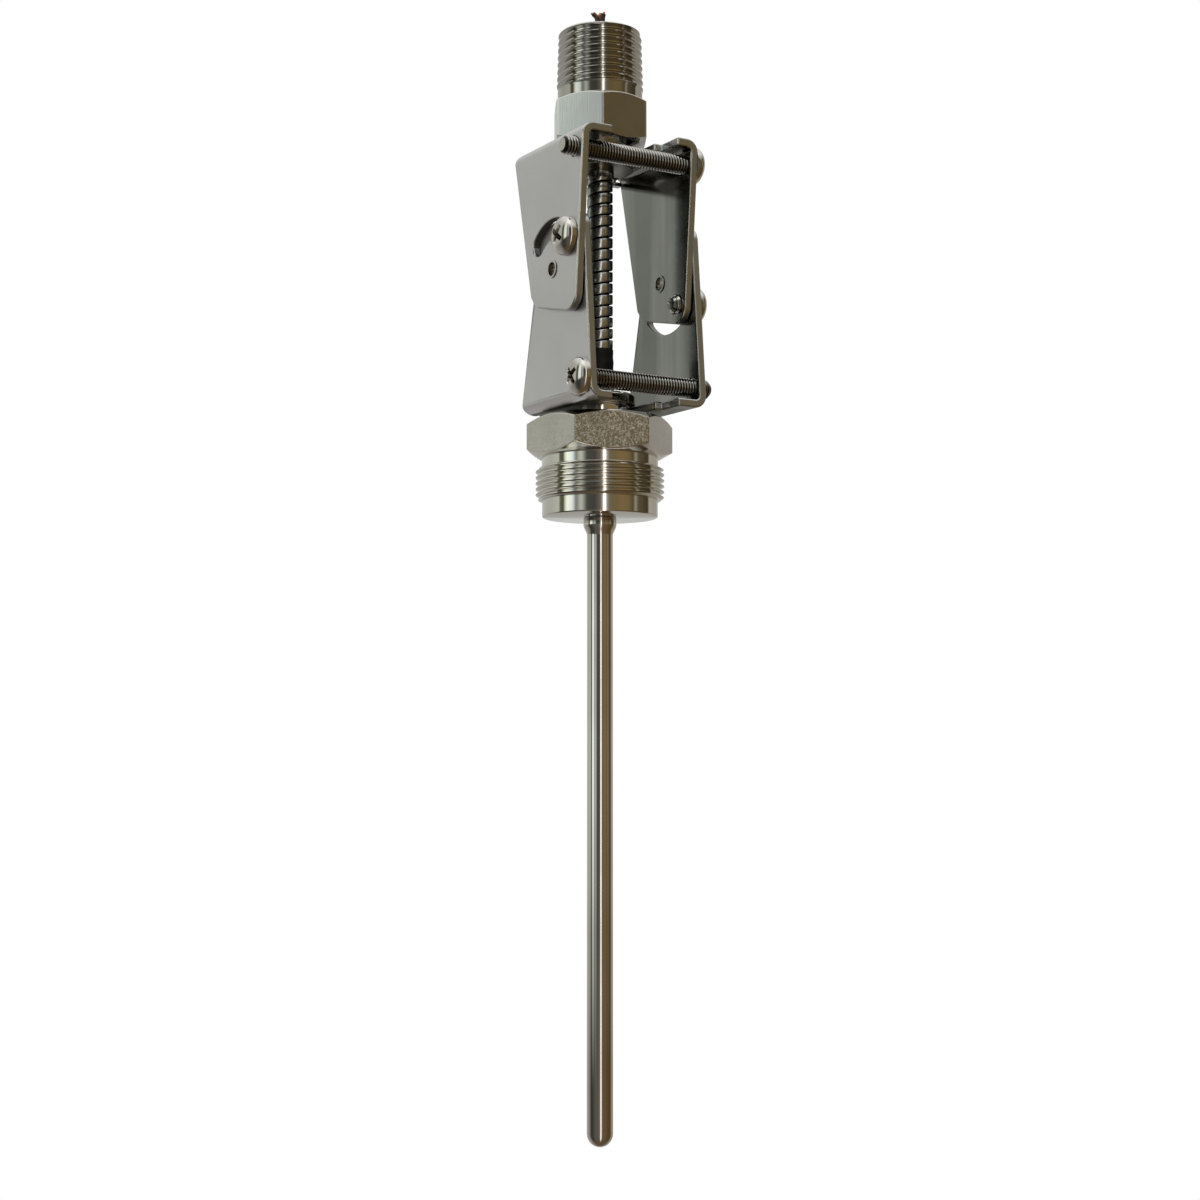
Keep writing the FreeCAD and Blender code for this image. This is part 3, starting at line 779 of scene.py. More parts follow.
def potting_compound(colours):
    return soft_finish("potting_finish", colours.potting, (0.3, 0.5), size=300.0, lift=1.4, bump=0.3)


def white_ceramic(colours):
    return soft_finish("ceramic_finish", colours.ceramic, (0.5, 0.65), size=400.0, lift=0.92, bump=0.15)


def lead_plastic(colours, shade_name):
    base = getattr(colours, shade_name + "_lead")
    return soft_finish(
        "lead_finish_" + shade_name, base, (0.28, 0.42), size=500.0, lift=1.35, bump=0.08
    )


# Operators


# Places of the finishes in a hexagon's list, and how a face's normal stands
TURNED, FLATS, SHADED_UNDERSIDE = range(3)
UPRIGHT = 0.2
FACING_DOWN = -0.9


def hexagon_and_collar(size, far_face, near_face, shoulder, end, socket_end):
    """Hexagon, the neck that a web grips and the collar beyond it, from the hexagon's far face to the end."""
    way = 1 if end > far_face else -1
    corner = size.hex_turn - math.pi / 2
    face = size.hex_flats / 2 * HEX_FACE
    bm = bmesh.new()
    turned_stack(bm, [
        (face, far_face), hexagon(size.hex_flats, corner, far_face, way),
        hexagon(size.hex_flats, corner, near_face, -way), (face, near_face),
        (size.neck_radius, near_face), (size.neck_radius, shoulder), (size.collar_radius, shoulder),
        (size.collar_radius, end - way * COLLAR_CHAMFER), (size.collar_radius - COLLAR_CHAMFER, end),
        (size.socket_radius, end), (size.socket_radius, socket_end),
    ], start=corner)
    tidy_faces(bm)
    round_edges(bm, sharp_edges(bm, HEX_CREASE), HEX_ROUNDING)
    for item in bm.faces:
        middle = item.calc_center_median().z
        flat = abs(item.normal.z) < UPRIGHT and size.hex_bottom < middle < size.hex_top
        item.material_index = FLATS if flat else TURNED
    return bm


def turned_piece(name, stations, finish, body, node):
    """Plain turned piece in the place of a CAD node."""
    bm = bmesh.new()
    turned_stack(bm, stations, MID_STEPS)
    tidy_faces(bm)
    stand_for(make_piece(name, bm, [finish], ROUND_CREASE), body, node)


class PROBE_OT_fitting(bpy.types.Operator):
    """Build the process fitting with its thread, hexagon and gripped neck"""

    bl_idname = "probe.fitting"
    bl_label = "Process Fitting"

    def execute(self, context):
        size = context.scene.probe_fitting
        colours = context.scene.probe_colours
        low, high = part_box("process_fitting")
        crest = size.thread_radius
        start = -size.thread_chamfer
        run_out = size.thread_top - size.thread_pitch * 0.35
        bm = bmesh.new()
        outline = thread_outline(crest, size.thread_depth, size.thread_pitch)
        helix(bm, outline, size.thread_pitch, start, size.thread_top)

        def limit(level):
            lead_in = crest - size.thread_chamfer * (1 - between(level, start, 0))
            return min(lead_in, crest - size.thread_depth * between(level, run_out, size.thread_top))

        limit_radius(bm, limit)
        edge = size.pilot_edge
        pilot = size.pilot_radius
        below = extend(bm, rim_of(bm, start), [
            (pilot, start), (pilot, start - edge / 2), (pilot, low.z + edge * 1.5), (pilot, low.z + edge),
            (pilot - edge * 0.3, low.z + edge * 0.3), (pilot - edge, low.z),
            (size.stem_radius, low.z), (size.stem_radius, low.z + size.stem_socket),
        ])
        above = extend(bm, rim_of(bm, size.thread_top), [
            (size.relief_radius, size.thread_top + edge), (size.relief_radius, size.hex_bottom + edge),
        ])
        bmesh.ops.edgeloop_fill(bm, edges=below)
        bmesh.ops.edgeloop_fill(bm, edges=above)
        tidy_faces(bm)
        piece = make_piece("process_thread", bm, [turned_steel(colours)], THREAD_CREASE)
        stand_for(piece, "process_connection", "process_fitting")

        bm = hexagon_and_collar(
            size, size.hex_bottom, size.hex_top, size.collar_bottom, high.z, high.z - size.socket_depth
        )
        finishes = [turned_steel(colours), drawn_steel(colours)]
        piece = make_piece("process_hexagon", bm, finishes)
        even_normals(piece)
        stand_for(piece, "process_connection", "process_fitting")
        return {"FINISHED"}


class PROBE_OT_stem(bpy.types.Operator):
    """Build the polished stem with its round tip and the braze at its top"""

    bl_idname = "probe.stem"
    bl_label = "Stem"

    def execute(self, context):
        size = context.scene.probe_fitting
        colours = context.scene.probe_colours
        low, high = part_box("stem_sheath")
        radius = size.stem_radius
        tip_steps, levels, braze_steps = 12, 24, 16
        stations = []
        for step in range(1, tip_steps + 1):
            lean = math.pi / 2 * step / tip_steps
            stations.append((radius * math.sin(lean), low.z + radius * (1 - math.cos(lean))))
        for step in range(1, levels + 1):
            stations.append((radius, low.z + radius + (high.z - low.z - radius) * step / levels))
        finish = stem_steel(colours)
        turned_piece("stem_tube", stations, finish, "process_connection", "stem_sheath")

        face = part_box("process_fitting")[0].z
        widest = radius + size.braze_spread
        soft = 0.0003
        stations = [(widest - soft, face), (widest - soft * 0.3, face - soft * 0.3), (widest, face - soft)]
        for step in range(braze_steps + 1):
            fall = step / braze_steps
            swell = size.braze_spread * (1 + math.cos(math.pi * fall)) / 2
            drop = size.braze_straight + (size.braze_height - size.braze_straight) * fall
            stations.append((radius + swell, face - drop))
        turned_piece("stem_braze_fillet", stations, finish, "process_connection", "stem_braze")
        return {"FINISHED"}


# Places of the finishes in a bracket's list
OUTSIDE, EDGE, SHADED_INSIDE, CORNER, PAINTED_SHADE = range(5)


def rounded_sheet(bm, size, pivot):
    """Rounds a bracket's cut edges, less at the rivet holes and the lip, and returns the outer roundings."""
    back = max(vert.co.y for vert in bm.verts) - size.sheet * 1.7
    hole_reach = 0.003
    holes = []
    lip = []
    for edge in sharp_edges(bm, SHEET_CREASE):
        if all((vert.co.yz - pivot.yz).length < hole_reach for vert in edge.verts):
            holes.append(edge)
        elif any(vert.co.y > back for vert in edge.verts):
            lip.append(edge)
    round_edges(bm, holes, size.hole_rounding, 2, False)
    round_edges(bm, [edge for edge in lip if edge.is_valid], size.lip_rounding, 2, False)
    return set(round_edges(bm, sharp_edges(bm, SHEET_CREASE), size.sheet_rounding, 2, False))


def sort_faces(bm, size, hinge, shade_undersides):
    """Gives a bracket's faces their finishes, by what lies behind and in front of each face's widest part;
    slot walls and, if asked, downward faces get painted shade, and faces towards the hinge the inside's
    painted shade.
    """
    tree = BVHTree.FromBMesh(bm)
    slot_width = 0.0065
    widest = {}
    for loops in bm.calc_loop_triangles():
        first, second, third = (loop.vert.co for loop in loops)
        area = (second - first).cross(third - first).length
        if area > widest.get(loops[0].face, (0.0,))[0]:
            widest[loops[0].face] = (area, (first + second + third) / 3)
    for item, (_, middle) in widest.items():
        off = item.normal * RAY_START
        through = tree.ray_cast(middle - off, -item.normal)[3]
        across = tree.ray_cast(middle + off, item.normal)[3]
        # Cut faces across a narrow gap, the walls of slots and holes, get painted shade
        if through is None or abs(through - size.sheet) >= size.sheet * 0.15:
            item.material_index = PAINTED_SHADE if across is not None and across < slot_width else EDGE
        # Downward faces of the lower bracket get painted shade
        elif shade_undersides and item.normal.z < FACING_DOWN:
            item.material_index = PAINTED_SHADE
        else:
            # Faces towards the hinge get the inside's painted shade
            item.material_index = SHADED_INSIDE if item.normal.dot(hinge - middle) > 0 else OUTSIDE


def sort_roundings(roundings):
    """Gives each rounding its neighbour's finish, or the corner finish beside the outside away from slots."""
    beside = {}
    for item in roundings:
        neighbours = [
            (edge.calc_length(), other.material_index)
            for edge in item.edges for other in edge.link_faces if other not in roundings
        ]
        beside[item] = max(neighbours)[1] if neighbours else EDGE
    for item, index in beside.items():
        near = {beside[other] for edge in item.edges for other in edge.link_faces if other in roundings}
        item.material_index = CORNER if index == OUTSIDE and PAINTED_SHADE not in near else index
        for edge in item.edges:
            edge.smooth = False


class PROBE_OT_brackets(bpy.types.Operator):
    """Build the two folded brackets with rounded sheet edges"""

    bl_idname = "probe.brackets"
    bl_label = "Brackets"

    def execute(self, context):
        size = context.scene.probe_hinge
        colours = context.scene.probe_colours
        low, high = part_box("left_pivot_rivet")
        pivot = (low + high) / 2
        hinge = Vector((0, 0, (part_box("upper_bracket")[1].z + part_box("lower_bracket")[0].z) / 2))
        for node, body in (("upper_bracket", "upper_arm"), ("lower_bracket", "lower_arm")):
            bm = bmesh.new()
            bm.from_mesh(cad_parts[node].data)
            bmesh.ops.remove_doubles(bm, verts=bm.verts, dist=1e-6)
            bmesh.ops.dissolve_limit(
                bm, angle_limit=math.radians(0.6), use_dissolve_boundaries=False,
                verts=bm.verts, edges=bm.edges,
            )
            lower = node == "lower_bracket"
            roundings = rounded_sheet(bm, size, pivot)
            sort_faces(bm, size, hinge, lower)
            sort_roundings(roundings)
            finishes = [
                worn_sheet_steel(colours, pivot) if lower else sheet_steel(colours),
                edge_steel(colours), shaded_inside_steel(colours), corner_steel(colours), painted_shade_steel(colours),
            ]
            piece = make_piece(node + "_sheet", bm, finishes, THREAD_CREASE)
            even_normals(piece)
            stand_for(piece, body, node)
        return {"FINISHED"}


def recess_tool(size):
    """Tapered cross that cuts the recess of a screw's head."""
    bm = bmesh.new()
    half = size.recess_width / 2
    reach = size.recess_span / 2
    above = size.head_height * 0.1
    floor_share = 0.42
    outline = []
    for quarter in range(4):
        way = Matrix.Rotation(quarter * math.pi / 2, 4, "Z")
        for x, y in ((reach, -half), (reach, half), (half * 1.25, half * 1.25)):
            outline.append(bm.verts.new(way @ Vector((x, y, size.head_height + above))))
    bm.faces.new(outline)
    made = bmesh.ops.extrude_face_region(bm, geom=bm.faces[:])["geom"]
    floor = [item for item in made if isinstance(item, bmesh.types.BMVert)]
    bmesh.ops.translate(bm, verts=floor, vec=(0, 0, -above - size.recess_depth))
    bmesh.ops.scale(bm, verts=floor, vec=(floor_share, floor_share, 1.0))
    bmesh.ops.recalc_face_normals(bm, faces=bm.faces)
    return bm


def screw_head(size):
    """Domed pan head on Z = 0, cut by a tapered cross recess."""
    crown = size.head_height - size.head_rim
    soft = 0.00015
    dome_steps = 13
    stations = [
        (size.head_radius - soft, 0), (size.head_radius, soft), (size.head_radius, size.head_rim),
    ]
    for step in range(1, dome_steps):
        lean = math.pi / 2 * step / dome_steps
        radius = size.head_radius * math.cos(lean) ** 0.9
        stations.append((radius, size.head_rim + crown * math.sin(lean)))
    bm = bmesh.new()
    turned_stack(bm, stations, steps=72)
    tidy_faces(bm)
    blank = add_object("head_blank", new_mesh("head_blank", bm))
    tool = add_object("recess_tool", new_mesh("recess_tool", recess_tool(size)))
    cut = blank.modifiers.new("Recess", "BOOLEAN")
    cut.operation = "DIFFERENCE"
    cut.solver = "EXACT"
    cut.object = tool
    bm = bmesh.new()
    take_mesh(bm, final_mesh(blank))
    bpy.data.objects.remove(blank)
    bpy.data.objects.remove(tool)
    return bm


def screw_shank(bm, size, shank, pitch):
    """Threaded shank from Z = 0 down to its chamfered tip, added to a bmesh."""
    part = bmesh.new()
    outline = thread_outline(size.screw_radius, size.screw_depth, pitch)
    helix(part, outline, pitch, -shank, 0.0, steps=40)
    tip = size.screw_depth * 1.8
    limit_radius(part, lambda level: size.screw_radius - tip * (1 - between(level, -shank, -shank + tip)))
    for level in (-shank, 0.0):
        last = extend(part, rim_of(part, level), [(size.screw_radius - tip, level)])
        bmesh.ops.edgeloop_fill(part, edges=last)
    tidy_faces(part)
    take_mesh(bm, new_mesh("shank", part))


def thread_marks(bm, size, least):
    """How near each point of a screw is to its thread's crest, low in the recess of the head; this sets the
    painted shade in the grooves and the recess.
    """
    layer = bm.verts.layers.float.new("crest")
    root = size.screw_radius - size.screw_depth
    floor = size.head_height - size.recess_depth
    tip = min(vert.co.z for vert in bm.verts)
    # Painted shade in the head's recess
    recess_shade = 0.3
    for vert in bm.verts:
        radius = reach_of(vert)
        if vert.co.z <= 0:
            # No painted shade on the tip's end face, and on the thread no more than the least share allows
            wear_and_shade_value = 1.0 if vert.co.z < tip + 10 * SAME_PLACE else least
            vert[layer] = max(wear_and_shade_value, between(radius, root, size.screw_radius))
        else:
            deep = radius < size.recess_span * 0.3 and vert.co.z < floor * 1.02
            vert[layer] = recess_shade if deep else 1.0


class PROBE_OT_screws(bpy.types.Operator):
    """Build the tie screws and lock screws with rolled threads and cross recesses"""

    bl_idname = "probe.screws"
    bl_label = "Screws"

    def execute(self, context):
        size = context.scene.probe_hinge
        colours = context.scene.probe_colours
        # Least crest share of the lock screws, so their grooves get little painted shade
        lock_unshaded_share = 0.85
        screws = (
            ("upper_tie_screw", "upper_arm", 1, 20.0), ("lower_tie_screw", "lower_arm", -1, 35.0),
            ("right_lock_screw", "upper_arm", 1, 10.0), ("left_lock_screw", "lower_arm", -1, 52.0),
        )
        for node, body, way, twist in screws:
            low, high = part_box(node)
            middle = (low + high) / 2
            tie = "tie" in node
            bm = screw_head(size)
            shank = high.x - low.x - size.head_height
            screw_shank(bm, size, shank, size.tie_pitch if tie else size.lock_pitch)
            thread_marks(bm, size, 0.0 if tie else lock_unshaded_share)
            under = high.x - size.head_height if way > 0 else low.x + size.head_height
            place = (
                Matrix.Translation((under, middle.y, middle.z))
                @ Matrix.Rotation(math.pi / 2 * way, 4, "Y")
                @ Matrix.Rotation(math.radians(twist), 4, "Z")
            )
            bmesh.ops.transform(bm, matrix=place, verts=bm.verts)
            piece = make_piece(node + "_threaded", bm, [screw_steel(colours)], SCREW_CREASE)
            stand_for(piece, body, node)
        return {"FINISHED"}


class PROBE_OT_rivets(bpy.types.Operator):
    """Build the tubular pivot rivets with rolled rims"""

    bl_idname = "probe.rivets"
    bl_label = "Pivot Rivets"

    def execute(self, context):
        size = context.scene.probe_hinge
        colours = context.scene.probe_colours
        rim_rounding = 0.00006
        bore_shade = 0.2
        for node in ("right_pivot_rivet", "left_pivot_rivet"):
            low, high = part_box(node)
            middle = (low + high) / 2
            reach = (high.z - low.z) / 2
            half = (high.x - low.x) / 2
            inside = half - size.rivet_rim
            bm = bmesh.new()
            turned_tube(bm, [
                (size.rivet_bore, -half), (reach, -half), (reach, -inside), (size.rivet_radius, -inside),
                (size.rivet_radius, inside), (reach, inside), (reach, half), (size.rivet_bore, half),
            ], rim_rounding, steps=64)
            tidy_faces(bm)
            # Painted shade in the bore
            layer = bm.verts.layers.float.new("crest")
            for vert in bm.verts:
                deep = reach_of(vert) < size.rivet_bore * 1.01 and abs(vert.co.z) < inside
                vert[layer] = bore_shade if deep else 1.0
            place = Matrix.Translation(middle) @ Matrix.Rotation(math.pi / 2, 4, "Y")
            bmesh.ops.transform(bm, matrix=place, verts=bm.verts)
            # Faces that look inwards between the legs get the inside's painted shade
            for item in bm.faces:
                facing_in = item.normal.x * middle.x < -abs(middle.x) / 2
                item.material_index = 1 if facing_in else 0
            finishes = [rivet_steel(colours), shaded_inside_steel(colours)]
            piece = make_piece(node + "_rolled", bm, finishes, ROUND_CREASE)
            stand_for(piece, "lower_arm", node)
        return {"FINISHED"}


class PROBE_OT_nipple(bpy.types.Operator):
    """Build the head nipple with its taper thread, hexagon, gripped neck and potting"""

    bl_idname = "probe.nipple"
    bl_label = "Head Nipple"

    def execute(self, context):
        size = context.scene.probe_nipple
        colours = context.scene.probe_colours
        low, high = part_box("head_nipple")
        taper = 1 / 32
        foot = size.thread_bottom
        base = size.thread_radius + (high.z - foot) * taper
        root = base - size.thread_depth
        run_out = foot + size.thread_pitch * 0.5
        bm = bmesh.new()
        helix(bm, thread_outline(base, size.thread_depth, size.thread_pitch), size.thread_pitch, foot, high.z)
        for vert in bm.verts:
            set_reach(vert, reach_of(vert) - (vert.co.z - foot) * taper)

        def limit(level):
            rim = base - size.rim_chamfer * between(level, high.z - size.rim_chamfer, high.z)
            return min(rim, base + (size.relief_radius - base) * between(level, run_out, foot))

        limit_radius(bm, limit)
        for vert in bm.verts:
            fade = between(vert.co.z, run_out, foot)
            least = root + (size.relief_radius - root) * fade - (vert.co.z - foot) * taper
            if reach_of(vert) < least:
                set_reach(vert, least)
        soft = 0.0002
        above = extend(bm, rim_of(bm, high.z), [
            (size.bore_radius + soft, high.z), (size.bore_radius, high.z - soft),
            (size.bore_radius, size.hex_top),
        ])
        below = extend(bm, rim_of(bm, foot), [
            (size.relief_radius, foot - soft), (size.relief_radius, size.hex_top - soft),
        ])
        bmesh.ops.edgeloop_fill(bm, edges=above)
        bmesh.ops.edgeloop_fill(bm, edges=below)
        tidy_faces(bm)
        piece = make_piece("nipple_thread", bm, [shaded_nipple_steel(colours)], THREAD_CREASE)
        stand_for(piece, "head", "head_nipple")

        bm = hexagon_and_collar(size, size.hex_top, size.hex_bottom, size.collar_top, low.z, size.collar_top)
        # The collar's end face below gets painted shade
        for item in bm.faces:
            if item.normal.z < FACING_DOWN and item.calc_center_median().z < low.z + soft:
                item.material_index = SHADED_UNDERSIDE
        finishes = [turned_steel(colours), smooth_drawn_steel(colours), painted_shade_steel(colours)]
        piece = make_piece("nipple_hexagon", bm, finishes)
        even_normals(piece)
        stand_for(piece, "head", "head_nipple")

        top = high.z - size.seal_drop
        wall = size.bore_radius - FIT_GAP
        dip = 0.0003
        creep = 0.00004
        stations = [
            (wall * 0.2, top - dip), (wall * 0.6, top - dip * 0.8), (wall * 0.85, top - dip / 3),
            (wall * 0.96, top), (wall, top + creep), (wall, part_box("lead_seal")[0].z),
        ]
        turned_piece("lead_potting", stations, potting_compound(colours), "head", "lead_seal")
        return {"FINISHED"}


def strip_marks(piece, root, crest, pitch):
    """UV map along and round the piece, and how near each point is to the crest of its turns."""
    mesh = piece.data
    turn_round = 2 * math.pi
    attribute = mesh.attributes.new("crest", "FLOAT", "POINT")
    for index, vert in enumerate(mesh.vertices):
        attribute.data[index].value = between(reach_of(vert), root, crest)
    layer = mesh.uv_layers.new(name="surface")
    for face in mesh.polygons:
        centre = math.atan2(face.center.y, face.center.x)
        for loop in face.loop_indices:
            co = mesh.vertices[mesh.loops[loop].vertex_index].co
            angle = math.atan2(co.y, co.x)
            angle += turn_round * round((centre - angle) / turn_round)
            layer.data[loop].uv = (angle * crest, co.z - angle / turn_round * pitch)


def wound_strip(size, low, high):
    """Tube of wound strip with a groove between its turns and a plain bore."""
    crest = size.conduit_radius
    groove = size.groove_share
    shares = [
        (0.0, 0.0), (groove * 0.6, 0.0), (groove * 0.8, 0.6), (groove, 0.86), (groove + 0.07, 0.97),
        (0.5 + groove / 2, 1.0), (0.92, 0.985), (0.97, 0.9), (0.992, 0.5),
    ]
    outline = [
        (crest - size.conduit_groove * (1 - rise), size.conduit_pitch * along) for along, rise in shares
    ]
    bm = bmesh.new()
    helix(bm, outline, size.conduit_pitch, low, high, steps=64)
    last = extend(bm, rim_of(bm, low), [(size.conduit_bore, low)])
    first = extend(bm, rim_of(bm, high), [(size.conduit_bore, high)])
    bmesh.ops.bridge_loops(bm, edges=first + last)
    inner = [
        edge for edge in bm.edges
        if all(abs(reach_of(vert) - size.conduit_bore) < SAME_PLACE for vert in edge.verts)
        and abs(edge.verts[0].co.z - edge.verts[1].co.z) > (high - low) / 2
    ]
    bmesh.ops.subdivide_edges(bm, edges=inner, cuts=60, use_grid_fill=False)
    tidy_faces(bm)
    return bm


def strip_end(size, level, bearing):
    """Pointed end of the wound strip, standing out at a level and a bearing."""
    reach = size.strip_burr
    width, thickness, curl, rounding = 0.0011, 0.0008, 0.0001, 0.00004
    bm = bmesh.new()
    bmesh.ops.create_cube(bm, size=1.0)
    bmesh.ops.scale(bm, verts=bm.verts, vec=(reach * 1.4, width, thickness))
    tip = [vert for vert in bm.verts if vert.co.x > 0]
    bmesh.ops.scale(bm, verts=tip, vec=(1.0, 0.25, 0.2))
    bmesh.ops.translate(bm, verts=tip, vec=(0, 0, curl))
    round_edges(bm, bm.edges[:], rounding, 2)
    out = Matrix.Translation((size.conduit_radius + reach * 0.25, 0, level))
    bmesh.ops.transform(bm, matrix=Matrix.Rotation(bearing, 4, "Z") @ out, verts=bm.verts)
    tidy_faces(bm)
    return bm


def shrunk_tube(size, low, high, turns_from):
    """Sleeve that thins towards its top, with the conduit's turns showing through it."""
    inside = size.conduit_radius + FIT_GAP
    wall = size.sleeve_wall
    soft = wall * 0.5
    rows = 48
    stations = [(inside + wall - soft, low)]
    for step in range(rows + 1):
        thinner = (size.sleeve_top_wall - wall) * step / rows
        stations.append((inside + wall + thinner, low + soft + (high - low - 2 * soft) * step / rows))
    stations += [(inside + size.sleeve_top_wall / 2, high), (inside, high)]
    bm = bmesh.new()
    place = Matrix.Translation((0, 0, low))
    made = bmesh.ops.create_circle(bm, segments=MID_STEPS, radius=inside, matrix=place)["verts"]
    first = list({edge for vert in made for edge in vert.link_edges})
    bmesh.ops.bridge_loops(bm, edges=first + extend(bm, first, stations))
    for vert in bm.verts:
        radius = reach_of(vert)
        if radius > inside + size.sleeve_top_wall * 0.8:
            along = 2 * math.pi * (vert.co.z - turns_from) / size.conduit_pitch
            wave = math.cos(math.atan2(vert.co.y, vert.co.x) - along)
            set_reach(vert, radius + size.sleeve_ripple * (wave - 1))
    tidy_faces(bm)
    return bm


class PROBE_OT_conduit(bpy.types.Operator):
    """Build the wound conduit, its ferrule, its black sleeve and the leads inside it"""

    bl_idname = "probe.conduit"
    bl_label = "Conduit"

    def execute(self, context):
        size = context.scene.probe_conduit
        colours = context.scene.probe_colours
        low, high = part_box("conduit")
        ferrule_low, ferrule_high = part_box("conduit_ferrule")
        sleeve_low, sleeve_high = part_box("conduit_sleeve")
        burr_lift = 0.0004
        crest = size.conduit_radius
        inside = crest + FIT_GAP
        pitch = size.conduit_pitch

        bm = wound_strip(size, low.z, high.z)
        piece = make_piece("conduit_turns", bm, [strip_steel(colours)], STRIP_CREASE)
        # Crest attribute for the painted shade in the grooves
        strip_marks(piece, crest - size.conduit_groove, crest, pitch)
        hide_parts("conduit")
        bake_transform(piece)

        outside = (ferrule_high.x - ferrule_low.x) / 2
        rim_rounding = 0.00011
        bm = bmesh.new()
        turned_tube(bm, [
            (inside, ferrule_low.z), (outside, ferrule_low.z), (outside, ferrule_high.z),
            (inside, ferrule_high.z),
        ], rim_rounding, MID_STEPS)
        tidy_faces(bm)
        piece = make_piece("conduit_ferrule_ring", bm, [ring_steel(colours)], ROUND_CREASE)
        stand_for(piece, "upper_arm", "conduit_ferrule")

        bm = strip_end(size, ferrule_low.z + burr_lift, -context.scene.probe_stage.camera_turn)
        piece = make_piece("strip_cut_end", bm, [strip_steel(colours)], THREAD_CREASE)
        # Painted shade towards the cut end's root, by the crest attribute
        strip_marks(piece, crest, crest + size.strip_burr * 3, pitch)
        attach(piece, "upper_arm")

        bm = shrunk_tube(size, sleeve_low.z, sleeve_high.z, low.z)
        piece = make_piece("shrunk_sleeve", bm, [sleeve_rubber(colours)], STRIP_CREASE)
        strip_marks(piece, inside, inside + size.sleeve_wall, pitch)
        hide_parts("conduit_sleeve")
        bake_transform(piece)

        rows = 40
        for shade_name in SHADES:
            node = "conduit_lead_" + shade_name
            low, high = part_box(node)
            middle = (low + high) / 2
            radius = (high.x - low.x) / 2
            stations = [(radius, low.z + (high.z - low.z) * step / rows) for step in range(rows + 1)]
            bm = bmesh.new()
            turned_stack(bm, stations, steps=16)
            bmesh.ops.translate(bm, verts=bm.verts, vec=(middle.x, middle.y, 0))
            tidy_faces(bm)
            finishes = [lead_plastic(colours, shade_name)]
            piece = make_piece(node + "_bending", bm, finishes, ROUND_CREASE)
            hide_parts(node)
            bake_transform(piece)
        return {"FINISHED"}


def wire_mesh(name, points, radius):
    """Mesh of a round wire with closed ends through points."""
    route = bpy.data.curves.new(name, "CURVE")
    route.dimensions = "3D"
    spline = route.splines.new("POLY")
    spline.points.add(len(points) - 1)
    for point, place in zip(spline.points, points):
        point.co = (*place, 1.0)
    route.bevel_depth = radius
    route.bevel_resolution = 5
    route.use_fill_caps = True
    holder = add_object(name, route)
    mesh = final_mesh(holder)
    bpy.data.objects.remove(holder)
    return mesh


class PROBE_OT_leads(bpy.types.Operator):
    """Build the three lead ends above the nipple with their bare cores"""

    bl_idname = "probe.leads"
    bl_label = "Lead Ends"

    def execute(self, context):
        size = context.scene.probe_nipple
        colours = context.scene.probe_colours
        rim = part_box("head_nipple")[1].z
        bend_steps = 10
        # Lean to the right, lean to the back and height above the rim of each lead's end
        ends = {
            "brown": (-0.0013, 0.0008, 0.0055), "black": (0.0003, -0.0002, 0.0058),
            "red": (0.0001, -0.0001, 0.0060),
        }
        for shade_name, (aside, back, above) in ends.items():
            node = "head_lead_" + shade_name
            low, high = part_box("conduit_lead_" + shade_name)
            foot = (low + high) / 2
            reach = math.hypot(aside, back)
            bend = (reach ** 2 + size.lead_hook ** 2) / (2 * reach)
            knee = rim + above - size.lead_hook
            bm = bmesh.new()
            layers = ((size.lead_radius, size.core_bare), (size.core_radius, 0.0))
            for index, (radius, short) in enumerate(layers):
                turned = math.asin(size.lead_hook / bend) - short / bend
                points = [(foot.x, foot.y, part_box(node)[0].z)]
                for step in range(bend_steps + 1):
                    lean = turned * step / bend_steps
                    out = bend * (1 - math.cos(lean)) / reach
                    points.append((foot.x + aside * out, foot.y + back * out, knee + bend * math.sin(lean)))
                start = len(bm.faces)
                take_mesh(bm, wire_mesh(node, points, radius))
                bm.faces.ensure_lookup_table()
                for item in bm.faces[start:]:
                    item.material_index = index
            tidy_faces(bm)
            materials = [lead_plastic(colours, shade_name), copper_core(colours)]
            piece = make_piece(node + "_end", bm, materials, ROUND_CREASE)
            stand_for(piece, "head", node)
        return {"FINISHED"}


class PROBE_OT_inner(bpy.types.Operator):
    """Give the pieces inside the stem their finishes"""

    bl_idname = "probe.inner"
    bl_label = "Inner Pieces"

    def execute(self, context):
        colours = context.scene.probe_colours
        finishes = {name: white_ceramic(colours) for name in ("rtd_element", "tip_cement", "stem_insulator")}
        for shade_name in SHADES:
            finishes["stem_lead_" + shade_name] = lead_plastic(colours, shade_name)
        for node, material in finishes.items():
            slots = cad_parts[node].data.materials
            slots.clear()
            slots.append(material)
        return {"FINISHED"}


